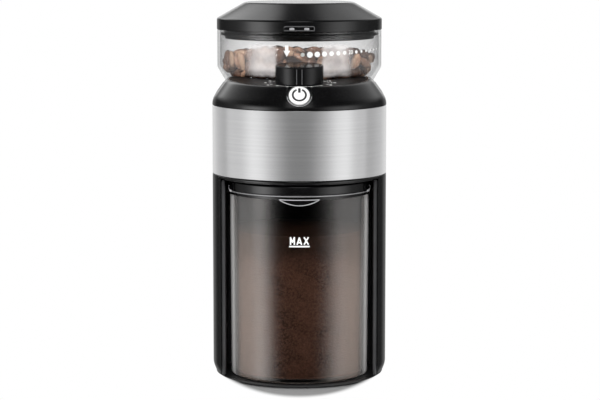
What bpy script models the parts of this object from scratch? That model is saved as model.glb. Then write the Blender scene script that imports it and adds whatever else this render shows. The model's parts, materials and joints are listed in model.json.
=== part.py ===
"""Burr coffee grinder, modelled as an assembly of separate pieces.

Metres, +Z up, the front faces -Y. The origin is the middle of the foot print, at the height of the surface
that the feet stand on. In plan the body is a stadium: a half circle at the front and one at the back, joined
by straight sides. The burrs, the adjust ring, the hopper and the lid share the centre of the back half circle.
"""

from math import acos, asin, atan2, cos, pi, radians, sin, sqrt, tan

import bmesh
import bpy
from mathutils import Matrix, Vector

MM = 0.001
GAP = 0.3 * MM  # clearance between pieces that rest on or in each other
OVERRUN = 1.0 * MM  # how far a cutter runs past the wall that it opens
LONG_OVERRUN = 10.0 * MM  # the same, through a wall that lies at a slant

# Body, in plan
BODY_RADIUS = 64.3 * MM
ARC_SPACING = 44.0 * MM
GLAND_REACH = 4.0 * MM
FRONT_Y = -(ARC_SPACING + GLAND_REACH) / 2
AXIS_Y = FRONT_Y + ARC_SPACING
REAR_Y = AXIS_Y + BODY_RADIUS
ARC_STEPS = 18

# Base and feet
FOOT_STAND = 0.8 * MM
BASE_THICKNESS = 2.2 * MM
BASE_INSET = 2.6 * MM
FOOT_RADIUS = 7.0 * MM
FOOT_SINK = 1.0 * MM
FOOT_SPREAD = 40.0 * MM
FOOT_FROM_CENTRE = 30.0 * MM
BASE_TOP = FOOT_STAND + BASE_THICKNESS

# Housing shell
SHELL_BOTTOM = BASE_TOP + GAP
SHELL_HEIGHT = 148.0 * MM
SHELL_TOP = SHELL_BOTTOM + SHELL_HEIGHT
SHELL_WALL = 2.5 * MM
EDGE_ROUND = 7.5 * MM
EDGE_INSET = 2.2 * MM
RIM_HEIGHT = 2.0 * MM
BAY_CUT_DEPTH = 10.0 * MM  # how far the shell's cut ends ahead of the front arc's centre

# Steel band and the chassis behind it
BAND_BOTTOM = SHELL_TOP + GAP
BAND_HEIGHT = 50.0 * MM
BAND_TOP = BAND_BOTTOM + BAND_HEIGHT
BAND_WALL = 0.8 * MM
CHASSIS_WALL = 2.2 * MM
CHASSIS_FLOOR = 2.5 * MM
SPIGOT_DEPTH = 3.0 * MM
CHASSIS_DROP = 1.0 * MM
CHASSIS_BOTTOM = SHELL_TOP - SPIGOT_DEPTH
CHASSIS_TOP = BAND_TOP - CHASSIS_DROP
FLOOR_TOP = CHASSIS_BOTTOM + CHASSIS_FLOOR

# Top cover: a leaning shoulder, a low plateau round the hopper and a raised sloping deck in front
COVER_BOTTOM = BAND_TOP + GAP
COVER_WALL = 2.2 * MM
PLATEAU_RISE = 12.6 * MM
PLATEAU_Z = COVER_BOTTOM + PLATEAU_RISE
SHOULDER_LEAN = radians(36)
SHOULDER_ARC = 12.0 * MM
SHOULDER_STRAIGHT = 11.0 * MM
BROW_ARC = 10.0 * MM
BROW_LEAN = radians(70)
BROW_REACH = 7.0 * MM
DECK_TILT = radians(3.5)
DECK_RISE = 4.9 * MM
THROAT_RADIUS = 34.0 * MM
RECESS_CLEARANCE = 1.2 * MM

# Hopper's reach, which the recess of the cover and the knob's place follow
HOPPER_INSET = 2.2 * MM  # from the body's side
HOPPER_FOOT_INSET = 6.9 * MM  # from the hopper's own wall
HOPPER_RADIUS = BODY_RADIUS - HOPPER_INSET
HOPPER_FOOT_RADIUS = HOPPER_RADIUS - HOPPER_FOOT_INSET

# Knob and its potentiometer
KNOB_TO_HOPPER = 0.5 * MM
KNOB_RADIUS = 17.4 * MM
KNOB_HEIGHT = 13.0 * MM
KNOB_EDGE = 0.8 * MM
KNOB_FLARE = 0.4 * MM
KNOB_BORE = 3.4 * MM
KNOB_CROWN = 3.0 * MM  # solid material above the shaft's bore
KNOB_Y = AXIS_Y - HOPPER_RADIUS - KNOB_TO_HOPPER - KNOB_RADIUS
DECK_Z = PLATEAU_Z + DECK_RISE
DIAL_SHAFT_RADIUS = 3.0 * MM
POT_SIDE = 14.0 * MM
POT_HEIGHT = 6.5 * MM
POT_SHAFT_DEPTH = 1.0 * MM
BOARD_THICKNESS = 1.6 * MM
CONTROL_BOARD_WIDTH = 58.0 * MM
CONTROL_BOARD_DEPTH = 24.0 * MM

# Power button
BUTTON_CLIMB = 10.5 * MM  # height of its centre above the foot of the shoulder
BUTTON_RADIUS = 7.6 * MM
BUTTON_HEIGHT = 4.5 * MM
BUTTON_PROUD = 0.6 * MM
BUTTON_TRAVEL = 1.5 * MM
BUTTON_GAP = 0.4 * MM
BEZEL_WALL = 1.2 * MM
BEZEL_SINK = 0.8 * MM
BEZEL_LENGTH = 12.0 * MM
STEM_RADIUS = 2.0 * MM
SWITCH_SIDE = 6.0 * MM
SWITCH_HEIGHT = 3.5 * MM

# Jar bay, jar and jar lid
BAY_SIDE = 10.1 * MM  # from the body's side to the bay's inner wall
BAY_HALF_WIDTH = BODY_RADIUS - BAY_SIDE
LINER_WALL = 2.9 * MM
BAY_BACK = 18.0 * MM  # behind the centre of the front half circle
BAY_CORNER = 9.0 * MM
JAR_SIDE_GAP = 2.8 * MM
JAR_NOSE_INSET = 3.8 * MM  # from the body's foremost point
JAR_BACK_GAP = 3.0 * MM
JAR_HALF_WIDTH = BAY_HALF_WIDTH - JAR_SIDE_GAP
JAR_FRONT = BODY_RADIUS - JAR_NOSE_INSET  # ahead of the centre of the front half circle
JAR_BACK = BAY_BACK - JAR_BACK_GAP
JAR_CORNER = 8.0 * MM
JAR_WALL = 2.2 * MM
JAR_DRAFT = 0.8 * MM
JAR_LID_DROP = 0.8 * MM  # space between the jar lid and the roof of the bay
JAR_LID_HEIGHT = 8.0 * MM
JAR_LID_WALL = 1.9 * MM
JAR_LID_PLATE = 2.0 * MM
JAR_TRAVEL = 130.0 * MM
TAB_HALF_WIDTH = 15.0 * MM
TAB_DROP = 5.0 * MM
TAB_REACH = 1.4 * MM
TAB_ROOT = 3.0 * MM
CHUTE_WIDTH = 26.0 * MM
CHUTE_DEPTH = 14.0 * MM
CHUTE_WALL = 1.6 * MM
APERTURE_MARGIN = 1.0 * MM

# Gear train: motor pinion, idler cluster, burr gear
MOTOR_SETBACK = 30.0 * MM  # behind the burr axis
FAST_MODULE = 1.0 * MM
SLOW_MODULE = 1.25 * MM
PINION_TEETH = 12
IDLER_LARGE_TEETH = 40
IDLER_SMALL_TEETH = 12
BURR_GEAR_TEETH = 36
BACKLASH = 0.3 * MM
FAST_FACE = 7.0 * MM
SLOW_FACE = 8.0 * MM
GEARBOX_MARGIN = 1.6 * MM
GEARBOX_WALL = 1.8 * MM
COVER_PLATE = 2.4 * MM
IDLER_PIN_RADIUS = 2.5 * MM
GEAR_SCREW_RADIUS = 1.4 * MM
GEAR_SCREW_HEAD = 2.6 * MM
GEAR_SCREW_HEAD_HEIGHT = 1.8 * MM
GEAR_SCREW_DEPTH = 8.0 * MM
EAR_RADIUS = 4.0 * MM
EAR_STANDOFF = 2.5 * MM
GEAR_CLEARANCE = 1.0 * MM
SHAFT_CLEARANCE = 1.0 * MM
SEAT_FLOOR = 0.6 * MM

# Motor
MOTOR_RADIUS = 21.0 * MM
MOTOR_LENGTH = 58.0 * MM
MOTOR_CAP = 7.0 * MM
MOTOR_SHAFT_RADIUS = 2.5 * MM

# Burrs
SHAFT_RADIUS = 4.0 * MM
BEARING_WALL = 3.4 * MM
BEARING_HEIGHT = 5.0 * MM
CHAMBER_RADIUS = 33.0 * MM
CHAMBER_WALL = 3.0 * MM
CHAMBER_FLOOR = 3.0 * MM
CHAMBER_RISE = 1.0 * MM
CHAMBER_TOP = BAND_TOP + CHAMBER_RISE
IMPELLER_HEIGHT = 4.0 * MM
IMPELLER_BLADES = 4
CONE_RADIUS = 19.5 * MM
CONE_TOP_RADIUS = 10.0 * MM
CONE_HEIGHT = 20.0 * MM
CONE_FLUTES = 12
CONE_CLEARANCE = 1.0 * MM  # grinding gap at the finest setting
RING_WALL = 3.6 * MM
CARRIER_WALL = 2.6 * MM
NUT_HEIGHT = 4.0 * MM
NUT_RADIUS = 7.5 * MM
SHAFT_TIP = 1.0 * MM
PORT_HEIGHT = 9.0 * MM
HUB_WALL = 3.0 * MM
BLADE_CLEARANCE = 1.0 * MM
RING_RAISE = 2.0 * MM
RING_DROP = 4.0 * MM
THREAD_PITCH = 2.0 * MM
ADJUST_RANGE_DEG = 153.0
ADJUST_FLANGE = 5.0 * MM
ADJUST_WALL = 3.2 * MM
FLANGE_HEIGHT = 2.0 * MM

# Hopper and lid
HOPPER_TAPER = 12.0 * MM
HOPPER_HEIGHT = 39.9 * MM
HOPPER_WALL = 2.0 * MM
HOPPER_THROAT = 26.0 * MM
HOPPER_COLLAR = 5.0 * MM
LID_OVERHANG = 0.3 * MM
LID_RIM = 7.5 * MM
LID_SLOPE_HEIGHT = 13.1 * MM
LID_TOP_RADIUS = 41.0 * MM
LID_WALL = 2.0 * MM
LID_SKIRT = 6.3 * MM
LID_SKIRT_GAP = 3.0 * MM
CATCH_HALF_WIDTH = 11.6 * MM
CATCH_HEIGHT = 4.6 * MM
CATCH_REACH = 1.3 * MM
CATCH_ROOT = 4.0 * MM
SEAL_HEIGHT = 2.0 * MM
LID_BEAD = 1.5 * MM
SKIRT_DRAFT = 0.6 * MM

# Boards, cord inlet and screws
POWER_BOARD_WIDTH = 56.0 * MM
POWER_BOARD_HEIGHT = 46.0 * MM
POWER_BOARD_SETBACK = 16.0 * MM  # behind the burr axis
TRANSFORMER_WIDTH = 30.0 * MM
TRANSFORMER_DEPTH = 22.0 * MM
TRANSFORMER_HEIGHT = 26.0 * MM
CORD_Z = 26.0 * MM
GLAND_RADIUS = 8.0 * MM
GLAND_BORE = 4.0 * MM
GLAND_WALL = 2.0 * MM
GLAND_TAIL = 4.0 * MM
GLAND_EDGE = 1.0 * MM
SCREW_RADIUS = 1.5 * MM
SCREW_HEAD_RADIUS = 3.0 * MM
SCREW_HEAD_HEIGHT = 1.0 * MM
SCREW_LENGTH = 12.0 * MM
BOSS_RADIUS = 4.0 * MM
BOSS_HEIGHT = 22.0 * MM
BOSS_STANDOFF = 12.0 * MM  # from the shell's inner face to the boss's centre
RIB_THICKNESS = 2.0 * MM
FRONT_BOSS_Y = AXIS_Y - 12.0 * MM
REAR_BOSS_ANGLE = radians(55)
HOPPER_SWITCH_WIDTH = 8.0 * MM
HOPPER_SWITCH_DEPTH = 16.0 * MM
HOPPER_SWITCH_HEIGHT = 10.0 * MM

# Heights that follow from the stack
FAST_GEAR_Z = FLOOR_TOP + GAP + GEARBOX_WALL + GEAR_CLEARANCE
SLOW_GEAR_Z = FAST_GEAR_Z + FAST_FACE + GAP
GEARBOX_TOP = SLOW_GEAR_Z + SLOW_FACE + GEAR_CLEARANCE
CHAMBER_BOTTOM = GEARBOX_TOP + GAP + COVER_PLATE + GAP
CHAMBER_FLOOR_TOP = CHAMBER_BOTTOM + CHAMBER_FLOOR
CONE_Z = CHAMBER_FLOOR_TOP + BEARING_HEIGHT - CHAMBER_FLOOR + IMPELLER_HEIGHT + 3 * GAP
NUT_Z = CONE_Z + CONE_HEIGHT + GAP
ADJUST_Z = CHAMBER_TOP + GAP
ADJUST_TOP = PLATEAU_Z - GAP
HOPPER_Z = PLATEAU_Z + GAP
HOPPER_TOP = HOPPER_Z + HOPPER_HEIGHT
LID_Z = HOPPER_TOP + GAP
BAY_ROOF = CHASSIS_BOTTOM
JAR_LID_TOP = BAY_ROOF - JAR_LID_DROP
JAR_BOTTOM = SHELL_BOTTOM
JAR_TOP = JAR_LID_TOP - JAR_LID_PLATE - GAP
CARRIER_LIFT = THREAD_PITCH * ADJUST_RANGE_DEG / 360
CARRIER_TOP = HOPPER_Z - HOPPER_COLLAR - CARRIER_LIFT - 2 * GAP
RECESS_RADIUS = HOPPER_RADIUS - HOPPER_TAPER * 0.25 + RECESS_CLEARANCE

AXIS = Vector((0, AXIS_Y, 0))
MOTOR = Vector((0, AXIS_Y + MOTOR_SETBACK, 0))
SLOW_CENTRES = SLOW_MODULE * (BURR_GEAR_TEETH + IDLER_SMALL_TEETH) / 2
FAST_CENTRES = FAST_MODULE * (IDLER_LARGE_TEETH + PINION_TEETH) / 2


def idler_place():
    """The idler's centre: one gear distance from the burr axis and the other from the motor axis."""
    along = (SLOW_CENTRES**2 - FAST_CENTRES**2 + MOTOR_SETBACK**2) / (2 * MOTOR_SETBACK)
    return Vector((sqrt(SLOW_CENTRES**2 - along**2), AXIS_Y + along, 0))


IDLER = idler_place()


# ---------------------------------------------------------------- helpers


def clear_scene():
    for thing in list(bpy.data.objects):
        bpy.data.objects.remove(thing, do_unlink=True)
    for name in ("coffee_grinder", "cutters"):
        group = bpy.data.collections.new(name)
        bpy.context.scene.collection.children.link(group)


def make_material(name, colour, roughness, metallic=0.0, alpha=1.0):
    material = bpy.data.materials.new(name)
    material.use_nodes = True
    shader = material.node_tree.nodes["Principled BSDF"]
    shader.inputs["Base Color"].default_value = (*colour, 1.0)
    shader.inputs["Roughness"].default_value = roughness
    shader.inputs["Metallic"].default_value = metallic
    shader.inputs["Alpha"].default_value = alpha
    return material


def add_object(name, mesh, material=None, group="coffee_grinder"):
    thing = bpy.data.objects.new(name, mesh)
    bpy.data.collections[group].objects.link(thing)
    if material is not None:
        mesh.materials.append(material)
    return thing


def as_cutter(thing):
    """Moves an object to the cutters, where it shapes others and is no piece itself."""
    thing.hide_render = True
    thing.display_type = "WIRE"
    for group in list(thing.users_collection):
        group.objects.unlink(thing)
    bpy.data.collections["cutters"].objects.link(thing)
    return thing


def combine(thing, other, operation):
    modifier = thing.modifiers.new(operation.lower(), "BOOLEAN")
    modifier.operation = operation
    modifier.object = as_cutter(other)
    return thing


def settled(thing):
    """Applies the modifiers so far and merges the points that a Boolean leaves double."""
    bpy.context.view_layer.update()
    graph = bpy.context.evaluated_depsgraph_get()
    mesh = bpy.data.meshes.new_from_object(thing.evaluated_get(graph))
    shape = bmesh.new()
    shape.from_mesh(mesh)
    bmesh.ops.remove_doubles(shape, verts=shape.verts, dist=0.000002)
    bmesh.ops.triangulate(shape, faces=shape.faces)
    shape.to_mesh(mesh)
    shape.free()
    thing.modifiers.clear()
    thing.data = mesh
    return thing


def cut(thing, *cutters):
    for cutter in cutters:
        combine(thing, cutter, "DIFFERENCE")
    return thing


def join(thing, *others):
    for other in others:
        combine(thing, other, "UNION")
    return thing


def turned(name, profile, material=None, centre=AXIS, steps=48):
    """A closed (radius, height) profile, down its outer side first, turned about a vertical axis."""
    mesh = bpy.data.meshes.new(name)
    shape = bmesh.new()
    points = [shape.verts.new((radius, 0, height)) for radius, height in profile]
    for first, second in zip(points, points[1:] + points[:1]):
        if first.co.x > 0 or second.co.x > 0:
            shape.edges.new((first, second))
    shape.to_mesh(mesh)
    shape.free()
    thing = add_object(name, mesh, material)
    thing.location = centre
    screw = thing.modifiers.new("turn", "SCREW")
    screw.angle = 2 * pi
    screw.steps = screw.render_steps = steps
    screw.use_merge_vertices = True
    screw.merge_threshold = 0.000001
    mesh.shade_smooth()
    return thing


def washer(outer, inner, low, high):
    """The closed profile of a ring of square section."""
    return [(outer, high), (outer, low), (inner, low), (inner, high)]


def rod(radius, low, high):
    """The profile of a solid round bar."""
    return [(0, high), (radius, high), (radius, low), (0, low)]


def slab(name, outlines, low, high, material=None, centre=Vector()):
    """Flat outlines, the first one the edge and the others holes, raised from one height to another."""
    curve = bpy.data.curves.new(name, "CURVE")
    curve.dimensions = "2D"
    curve.fill_mode = "BOTH"
    curve.extrude = (high - low) / 2
    for outline in outlines:
        spline = curve.splines.new("POLY")
        spline.points.add(len(outline) - 1)
        for point, (x, y) in zip(spline.points, outline):
            point.co = (x, y, 0, 1)
        spline.use_cyclic_u = True
    source = bpy.data.objects.new(name + "_curve", curve)
    source.location = Vector((centre.x, centre.y, (low + high) / 2))
    bpy.context.scene.collection.objects.link(source)
    bpy.context.view_layer.update()
    graph = bpy.context.evaluated_depsgraph_get()
    mesh = bpy.data.meshes.new_from_object(source.evaluated_get(graph))
    place = source.matrix_world.copy()
    bpy.data.objects.remove(source)
    shape = bmesh.new()
    shape.from_mesh(mesh)
    bmesh.ops.remove_doubles(shape, verts=shape.verts, dist=0.000001)
    bmesh.ops.recalc_face_normals(shape, faces=shape.faces)
    shape.to_mesh(mesh)
    shape.free()
    mesh.materials.clear()
    thing = add_object(name, mesh, material)
    thing.matrix_world = place
    return thing


def block(name, low, high, material=None):
    """A box between two corners."""
    mesh = bpy.data.meshes.new(name)
    shape = bmesh.new()
    size = Vector(high) - Vector(low)
    bmesh.ops.create_cube(shape, size=1, matrix=Matrix.Diagonal((*size, 1)))
    shape.to_mesh(mesh)
    shape.free()
    thing = add_object(name, mesh, material)
    thing.location = (Vector(low) + Vector(high)) / 2
    return thing


def loft(name, sections, material=None):
    """A closed solid through sections, each a list of points; the first is the lowest."""
    mesh = bpy.data.meshes.new(name)
    shape = bmesh.new()
    rings = [[shape.verts.new(point) for point in section] for section in sections]
    for lower, upper in zip(rings, rings[1:]):
        for k in range(len(lower)):
            after = (k + 1) % len(lower)
            shape.faces.new((lower[k], lower[after], upper[after], upper[k]))
    shape.faces.new(rings[0][::-1])
    shape.faces.new(rings[-1])
    shape.to_mesh(mesh)
    shape.free()
    return add_object(name, mesh, material)


def arc(centre, radius, start, end, steps):
    return [
        (centre[0] + radius * cos(start + (end - start) * k / steps),
         centre[1] + radius * sin(start + (end - start) * k / steps))
        for k in range(steps + 1)
    ]


def circle(radius, steps=32, centre=(0, 0)):
    return arc(centre, radius, 0, 2 * pi, steps)[:-1]


def stadium(radius):
    """The body's plan at a given radius about the two arc centres."""
    front = arc((0, FRONT_Y), radius, pi, 2 * pi, ARC_STEPS)
    return front + arc((0, AXIS_Y), radius, 0, pi, ARC_STEPS)


def stadium_solid(name, profile, material=None):
    """A solid whose level sections are stadiums, from (radius, height) pairs, lowest first."""
    sections = [[(x, y, height) for x, y in stadium(radius)] for radius, height in profile]
    return loft(name, sections, material)


def hollow_stadium(name, outer, inner, material):
    """One stadium solid less another, which passes through it or leaves a floor."""
    return cut(stadium_solid(name, outer, material), stadium_solid(name + "_inside", inner))


def rounded_front(half_width, front, back, corner):
    """A plan with a half-round front, straight sides and a back with rounded corners, about FRONT_Y."""
    nose = FRONT_Y - front + half_width
    rear = FRONT_Y + back
    points = arc((0, nose), half_width, pi, 2 * pi, ARC_STEPS)
    points += arc((half_width - corner, rear - corner), corner, 0, pi / 2, 5)
    points += arc((corner - half_width, rear - corner), corner, pi / 2, pi, 5)
    return points


def belt(circles, steps=20):
    """The outline of a belt drawn tight round circles, each (centre, radius)."""
    points = sorted({point for centre, radius in circles for point in circle(radius, steps, centre)})

    def half(ordered):
        hull = []
        for point in ordered:
            while len(hull) > 1 and turn(hull[-2], hull[-1], point) <= 0:
                hull.pop()
            hull.append(point)
        return hull[:-1]

    def turn(a, b, c):
        return (b[0] - a[0]) * (c[1] - a[1]) - (b[1] - a[1]) * (c[0] - a[0])

    return half(points) + half(points[::-1])


def gear_outline(teeth, module, phase):
    """Involute teeth with stub tips, one of them centred on the angle given as phase."""
    pitch = module * teeth / 2
    base = pitch * cos(radians(20))

    def involute(radius):
        angle = acos(min(1, base / radius))
        return tan(angle) - angle

    def half_angle(radius):
        tooth = pi / 2 / teeth - BACKLASH / 2 / pitch
        return tooth + involute(pitch) - involute(max(radius, base))

    radii = (pitch - 1.15 * module, pitch + 0.9 * module)
    points = []
    for tooth in range(teeth):
        middle = phase + 2 * pi * tooth / teeth
        flank = [(radius, middle - half_angle(radius)) for radius in radii]
        flank += [(radius, middle + half_angle(radius)) for radius in reversed(radii)]
        points += [(radius * cos(angle), radius * sin(angle)) for radius, angle in flank]
    return points


def gear(name, teeth, module, phase, bore, low, high, centre, material):
    outlines = [gear_outline(teeth, module, phase), circle(bore, 16)]
    return slab(name, outlines, low, high, material, centre)


# ---------------------------------------------------------------- materials


def make_materials():
    return {
        "black_gloss": make_material("black_gloss", (0.010, 0.010, 0.011), 0.16),
        "black_satin": make_material("black_satin", (0.020, 0.020, 0.021), 0.38),
        "steel": make_material("steel", (0.62, 0.62, 0.63), 0.34, 1.0),
        "clear": make_material("clear", (0.93, 0.95, 0.96), 0.04, 0.0, 0.25),
        "smoked": make_material("smoked", (0.16, 0.14, 0.13), 0.05, 0.0, 0.45),
        "white": make_material("white", (0.86, 0.86, 0.85), 0.28),
        "rubber": make_material("rubber", (0.03, 0.03, 0.03), 0.8),
        "seal": make_material("seal", (0.45, 0.46, 0.47), 0.6),
        "nylon": make_material("nylon", (0.80, 0.79, 0.74), 0.45),
        "burr_steel": make_material("burr_steel", (0.42, 0.42, 0.43), 0.3, 1.0),
        "zinc": make_material("zinc", (0.55, 0.56, 0.58), 0.32, 1.0),
        "bronze": make_material("bronze", (0.55, 0.38, 0.20), 0.4, 1.0),
        "board": make_material("board", (0.03, 0.20, 0.08), 0.45),
        "coil": make_material("coil", (0.70, 0.58, 0.12), 0.5),
    }


# ---------------------------------------------------------------- base, shell and band


def boss_stations():
    """(place, angle of the rib to the wall) of each base screw: behind the bay and on the rear half circle."""
    reach = BODY_RADIUS - SHELL_WALL - BOSS_STANDOFF
    stations = []
    for angle in (pi, 0, pi - REAR_BOSS_ANGLE, REAR_BOSS_ANGLE):
        middle = FRONT_BOSS_Y if sin(angle) < 0.1 else AXIS_Y
        stations.append((Vector((reach * cos(angle), middle + reach * sin(angle), 0)), angle))
    return stations


def foot_places():
    middle = (FRONT_Y + AXIS_Y) / 2
    return [
        Vector((x, middle + y, 0))
        for x in (-FOOT_SPREAD, FOOT_SPREAD)
        for y in (-FOOT_FROM_CENTRE, FOOT_FROM_CENTRE)
    ]


def make_base(paint):
    full = BODY_RADIUS - EDGE_INSET
    plate = stadium_solid(
        "base_plate",
        [(full - BASE_INSET, FOOT_STAND), (full, FOOT_STAND + BASE_THICKNESS * 0.7), (full, BASE_TOP)],
        paint["black_satin"],
    )
    head_pocket = rod(SCREW_HEAD_RADIUS + 2 * GAP, 0, FOOT_STAND + SCREW_HEAD_HEIGHT + GAP)
    screw_way = rod(SCREW_RADIUS + GAP, 0, BASE_TOP + OVERRUN)
    for number, (place, _) in enumerate(boss_stations(), 1):
        cut(
            plate,
            turned(f"head_pocket_{number}", head_pocket, centre=place, steps=16),
            turned(f"screw_way_{number}", screw_way, centre=place, steps=12),
        )
        make_base_screw(number, place, paint)
    for number, place in enumerate(foot_places(), 1):
        pocket = rod(FOOT_RADIUS + GAP, 0, FOOT_STAND + FOOT_SINK + GAP)
        cut(plate, turned(f"foot_pocket_{number}", pocket, centre=place, steps=24))
        turned(f"foot_{number}", rod(FOOT_RADIUS, 0, FOOT_STAND + FOOT_SINK), paint["rubber"], place, 20)
    return plate


def make_base_screw(number, place, paint):
    """A pan head seated under the base plate, its shank up in a boss of the shell."""
    head_bottom = FOOT_STAND
    head_top = head_bottom + SCREW_HEAD_HEIGHT
    profile = [(0, head_top + SCREW_LENGTH), (SCREW_RADIUS, head_top + SCREW_LENGTH), (SCREW_RADIUS, head_top),
               (SCREW_HEAD_RADIUS, head_top), (SCREW_HEAD_RADIUS, head_bottom), (0, head_bottom)]
    turned(f"base_screw_{number}", profile, paint["zinc"], place, 12)


def shell_profile(inset):
    """The shell's outer face, or its inner face one wall in."""
    radius = BODY_RADIUS - inset
    steps = 3
    edge = [
        (radius - EDGE_INSET * (1 - sin(pi / 2 * k / steps)), SHELL_BOTTOM + EDGE_ROUND * k / steps)
        for k in range(steps + 1)
    ]
    return edge + [(radius, SHELL_TOP)]


def make_shell(paint):
    inner = shell_profile(SHELL_WALL)
    inner = [(inner[0][0], SHELL_BOTTOM - OVERRUN)] + inner + [(inner[-1][0], SHELL_TOP + OVERRUN)]
    shell = hollow_stadium("housing_shell", shell_profile(0), inner, paint["black_gloss"])
    side = BAY_HALF_WIDTH + LINER_WALL + GAP
    front = FRONT_Y - BODY_RADIUS - LONG_OVERRUN
    for number, (place, angle) in enumerate(boss_stations(), 1):
        boss = rod(BOSS_RADIUS, SHELL_BOTTOM, SHELL_BOTTOM + BOSS_HEIGHT)
        rib = block(f"rib_{number}", (0, -RIB_THICKNESS / 2, SHELL_BOTTOM),
                    (BOSS_STANDOFF + SHELL_WALL / 2, RIB_THICKNESS / 2, SHELL_BOTTOM + BOSS_HEIGHT - 2 * MM))
        rib.matrix_world = (Matrix.Translation(place) @ Matrix.Rotation(angle, 4, "Z")
                            @ Matrix.Translation(rib.location))
        join(shell, turned(f"boss_{number}", boss, centre=place, steps=16), rib)
        bore = rod(SCREW_RADIUS + GAP, 0, SHELL_BOTTOM + SCREW_LENGTH)
        cut(shell, turned(f"boss_bore_{number}", bore, centre=place, steps=12))
    cut(
        shell,
        block("bay_cut", (-side, front, 0), (side, FRONT_Y - BAY_CUT_DEPTH, SHELL_TOP - RIM_HEIGHT)),
        along_y(turned("gland_hole", rod(gland_neck() + GAP, -LONG_OVERRUN, LONG_OVERRUN), steps=24), REAR_Y),
    )
    return shell


def make_bay_liner(paint):
    """The bay's inner walls: a U in plan, open to the front, that ends where the shell is cut."""
    half = BAY_HALF_WIDTH
    outer = half + LINER_WALL
    back = FRONT_Y + BAY_BACK
    front = FRONT_Y - sqrt((BODY_RADIUS - SHELL_WALL / 2) ** 2 - outer**2)
    corner = BAY_CORNER
    outline = arc((outer - corner - LINER_WALL, back - corner), corner + LINER_WALL, 0, pi / 2, 6)
    outline += arc((corner + LINER_WALL - outer, back - corner), corner + LINER_WALL, pi / 2, pi, 6)
    outline += [(-outer, front), (-half, front)]
    outline += arc((corner - half, back - corner), corner, pi, pi / 2, 6)
    outline += arc((half - corner, back - corner), corner, pi / 2, 0, 6)
    outline += [(half, front), (outer, front)]
    return slab("bay_liner", [outline], SHELL_BOTTOM, BAY_ROOF - GAP, paint["black_satin"])


def make_band(paint):
    outer = [(BODY_RADIUS, BAND_BOTTOM), (BODY_RADIUS, BAND_TOP)]
    inner = [(BODY_RADIUS - BAND_WALL, BAND_BOTTOM - OVERRUN), (BODY_RADIUS - BAND_WALL, BAND_TOP + OVERRUN)]
    return hollow_stadium("steel_band", outer, inner, paint["steel"])


def make_chassis(paint):
    """The inner moulding: a spigot in the shell, a wall inside the band, and a floor that roofs the bay."""
    spigot = BODY_RADIUS - SHELL_WALL - GAP
    wall = BODY_RADIUS - BAND_WALL - GAP
    outer = [(spigot, CHASSIS_BOTTOM), (spigot, BAND_BOTTOM), (wall, BAND_BOTTOM), (wall, CHASSIS_TOP)]
    inner = [(spigot - CHASSIS_WALL, FLOOR_TOP), (spigot - CHASSIS_WALL, CHASSIS_TOP + OVERRUN)]
    chassis = hollow_stadium("chassis", outer, inner, paint["black_satin"])
    x, low, high = chute_box(CHUTE_WALL + GAP)
    cut(
        chassis,
        block("chute_way", (-x, low, CHASSIS_BOTTOM - OVERRUN), (x, high, FLOOR_TOP + OVERRUN)),
        turned("motor_shaft_way", rod(MOTOR_SHAFT_RADIUS + 2 * SHAFT_CLEARANCE, CHASSIS_BOTTOM - OVERRUN, FLOOR_TOP + OVERRUN),
               centre=MOTOR, steps=24),
    )
    return chassis


# ---------------------------------------------------------------- top cover, knob and button


def shoulder_profile(inset):
    """(radius, height) up the shoulder: an arc, a straight lean, then the brow's arc on to the deck."""
    radius = BODY_RADIUS - inset
    steps = 3
    points = []
    for k in range(steps + 1):
        lean = SHOULDER_LEAN * k / steps
        points.append((radius - SHOULDER_ARC * (1 - cos(lean)), COVER_BOTTOM + SHOULDER_ARC * sin(lean)))
    inward = SHOULDER_ARC * (1 - cos(SHOULDER_LEAN)) + SHOULDER_STRAIGHT * sin(SHOULDER_LEAN)
    climb = SHOULDER_ARC * sin(SHOULDER_LEAN) + SHOULDER_STRAIGHT * cos(SHOULDER_LEAN)
    for k in range(steps + 1):
        lean = SHOULDER_LEAN + (BROW_LEAN - SHOULDER_LEAN) * k / steps
        points.append((
            radius - inward - BROW_ARC * (cos(SHOULDER_LEAN) - cos(lean)),
            COVER_BOTTOM + climb + BROW_ARC * (sin(lean) - sin(SHOULDER_LEAN)),
        ))
    last_radius, last_height = points[-1]
    points.append((last_radius - BROW_REACH * sin(BROW_LEAN), last_height + BROW_REACH * cos(BROW_LEAN)))
    return points


def shoulder_solid(name, inset, material=None):
    """The cover as a full solid, or the space inside it one wall in."""
    profile = shoulder_profile(inset)
    if inset:
        profile = [(profile[0][0], COVER_BOTTOM - OVERRUN)] + profile
    solid = stadium_solid(name, profile, material)
    top = profile[-1][1] + LONG_OVERRUN
    recess = rod(RECESS_RADIUS + inset, PLATEAU_Z - inset, top)
    cut(solid, turned(name + "_recess", recess, steps=52))
    cut(settled(solid), deck_cutter(name + "_deck", -inset))
    return settled(solid)


def deck_cutter(name, lift):
    """A block above the deck's plane, lifted along the plane's normal."""
    side = 2 * BODY_RADIUS
    cutter = block(name, (-side, -side, 0), (side, side, side))
    rise = Vector((0, -sin(DECK_TILT), cos(DECK_TILT))) * lift
    cutter.location = Vector((0, KNOB_Y, DECK_Z)) + rise + Vector((0, -sin(DECK_TILT), cos(DECK_TILT))) * side / 2
    cutter.rotation_euler = (DECK_TILT, 0, 0)
    return cutter


def along_y(thing, y):
    """Lays a turned piece along Y at the height of the cord, its foot at the given place."""
    thing.location = (0, y, CORD_Z)
    thing.rotation_euler = (-pi / 2, 0, 0)
    return thing


def button_centre():
    climb = SHOULDER_ARC * sin(SHOULDER_LEAN)
    inward = SHOULDER_ARC * (1 - cos(SHOULDER_LEAN)) + (BUTTON_CLIMB - climb) * tan(SHOULDER_LEAN)
    return Vector((0, FRONT_Y - BODY_RADIUS + inward, COVER_BOTTOM + BUTTON_CLIMB))


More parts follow.
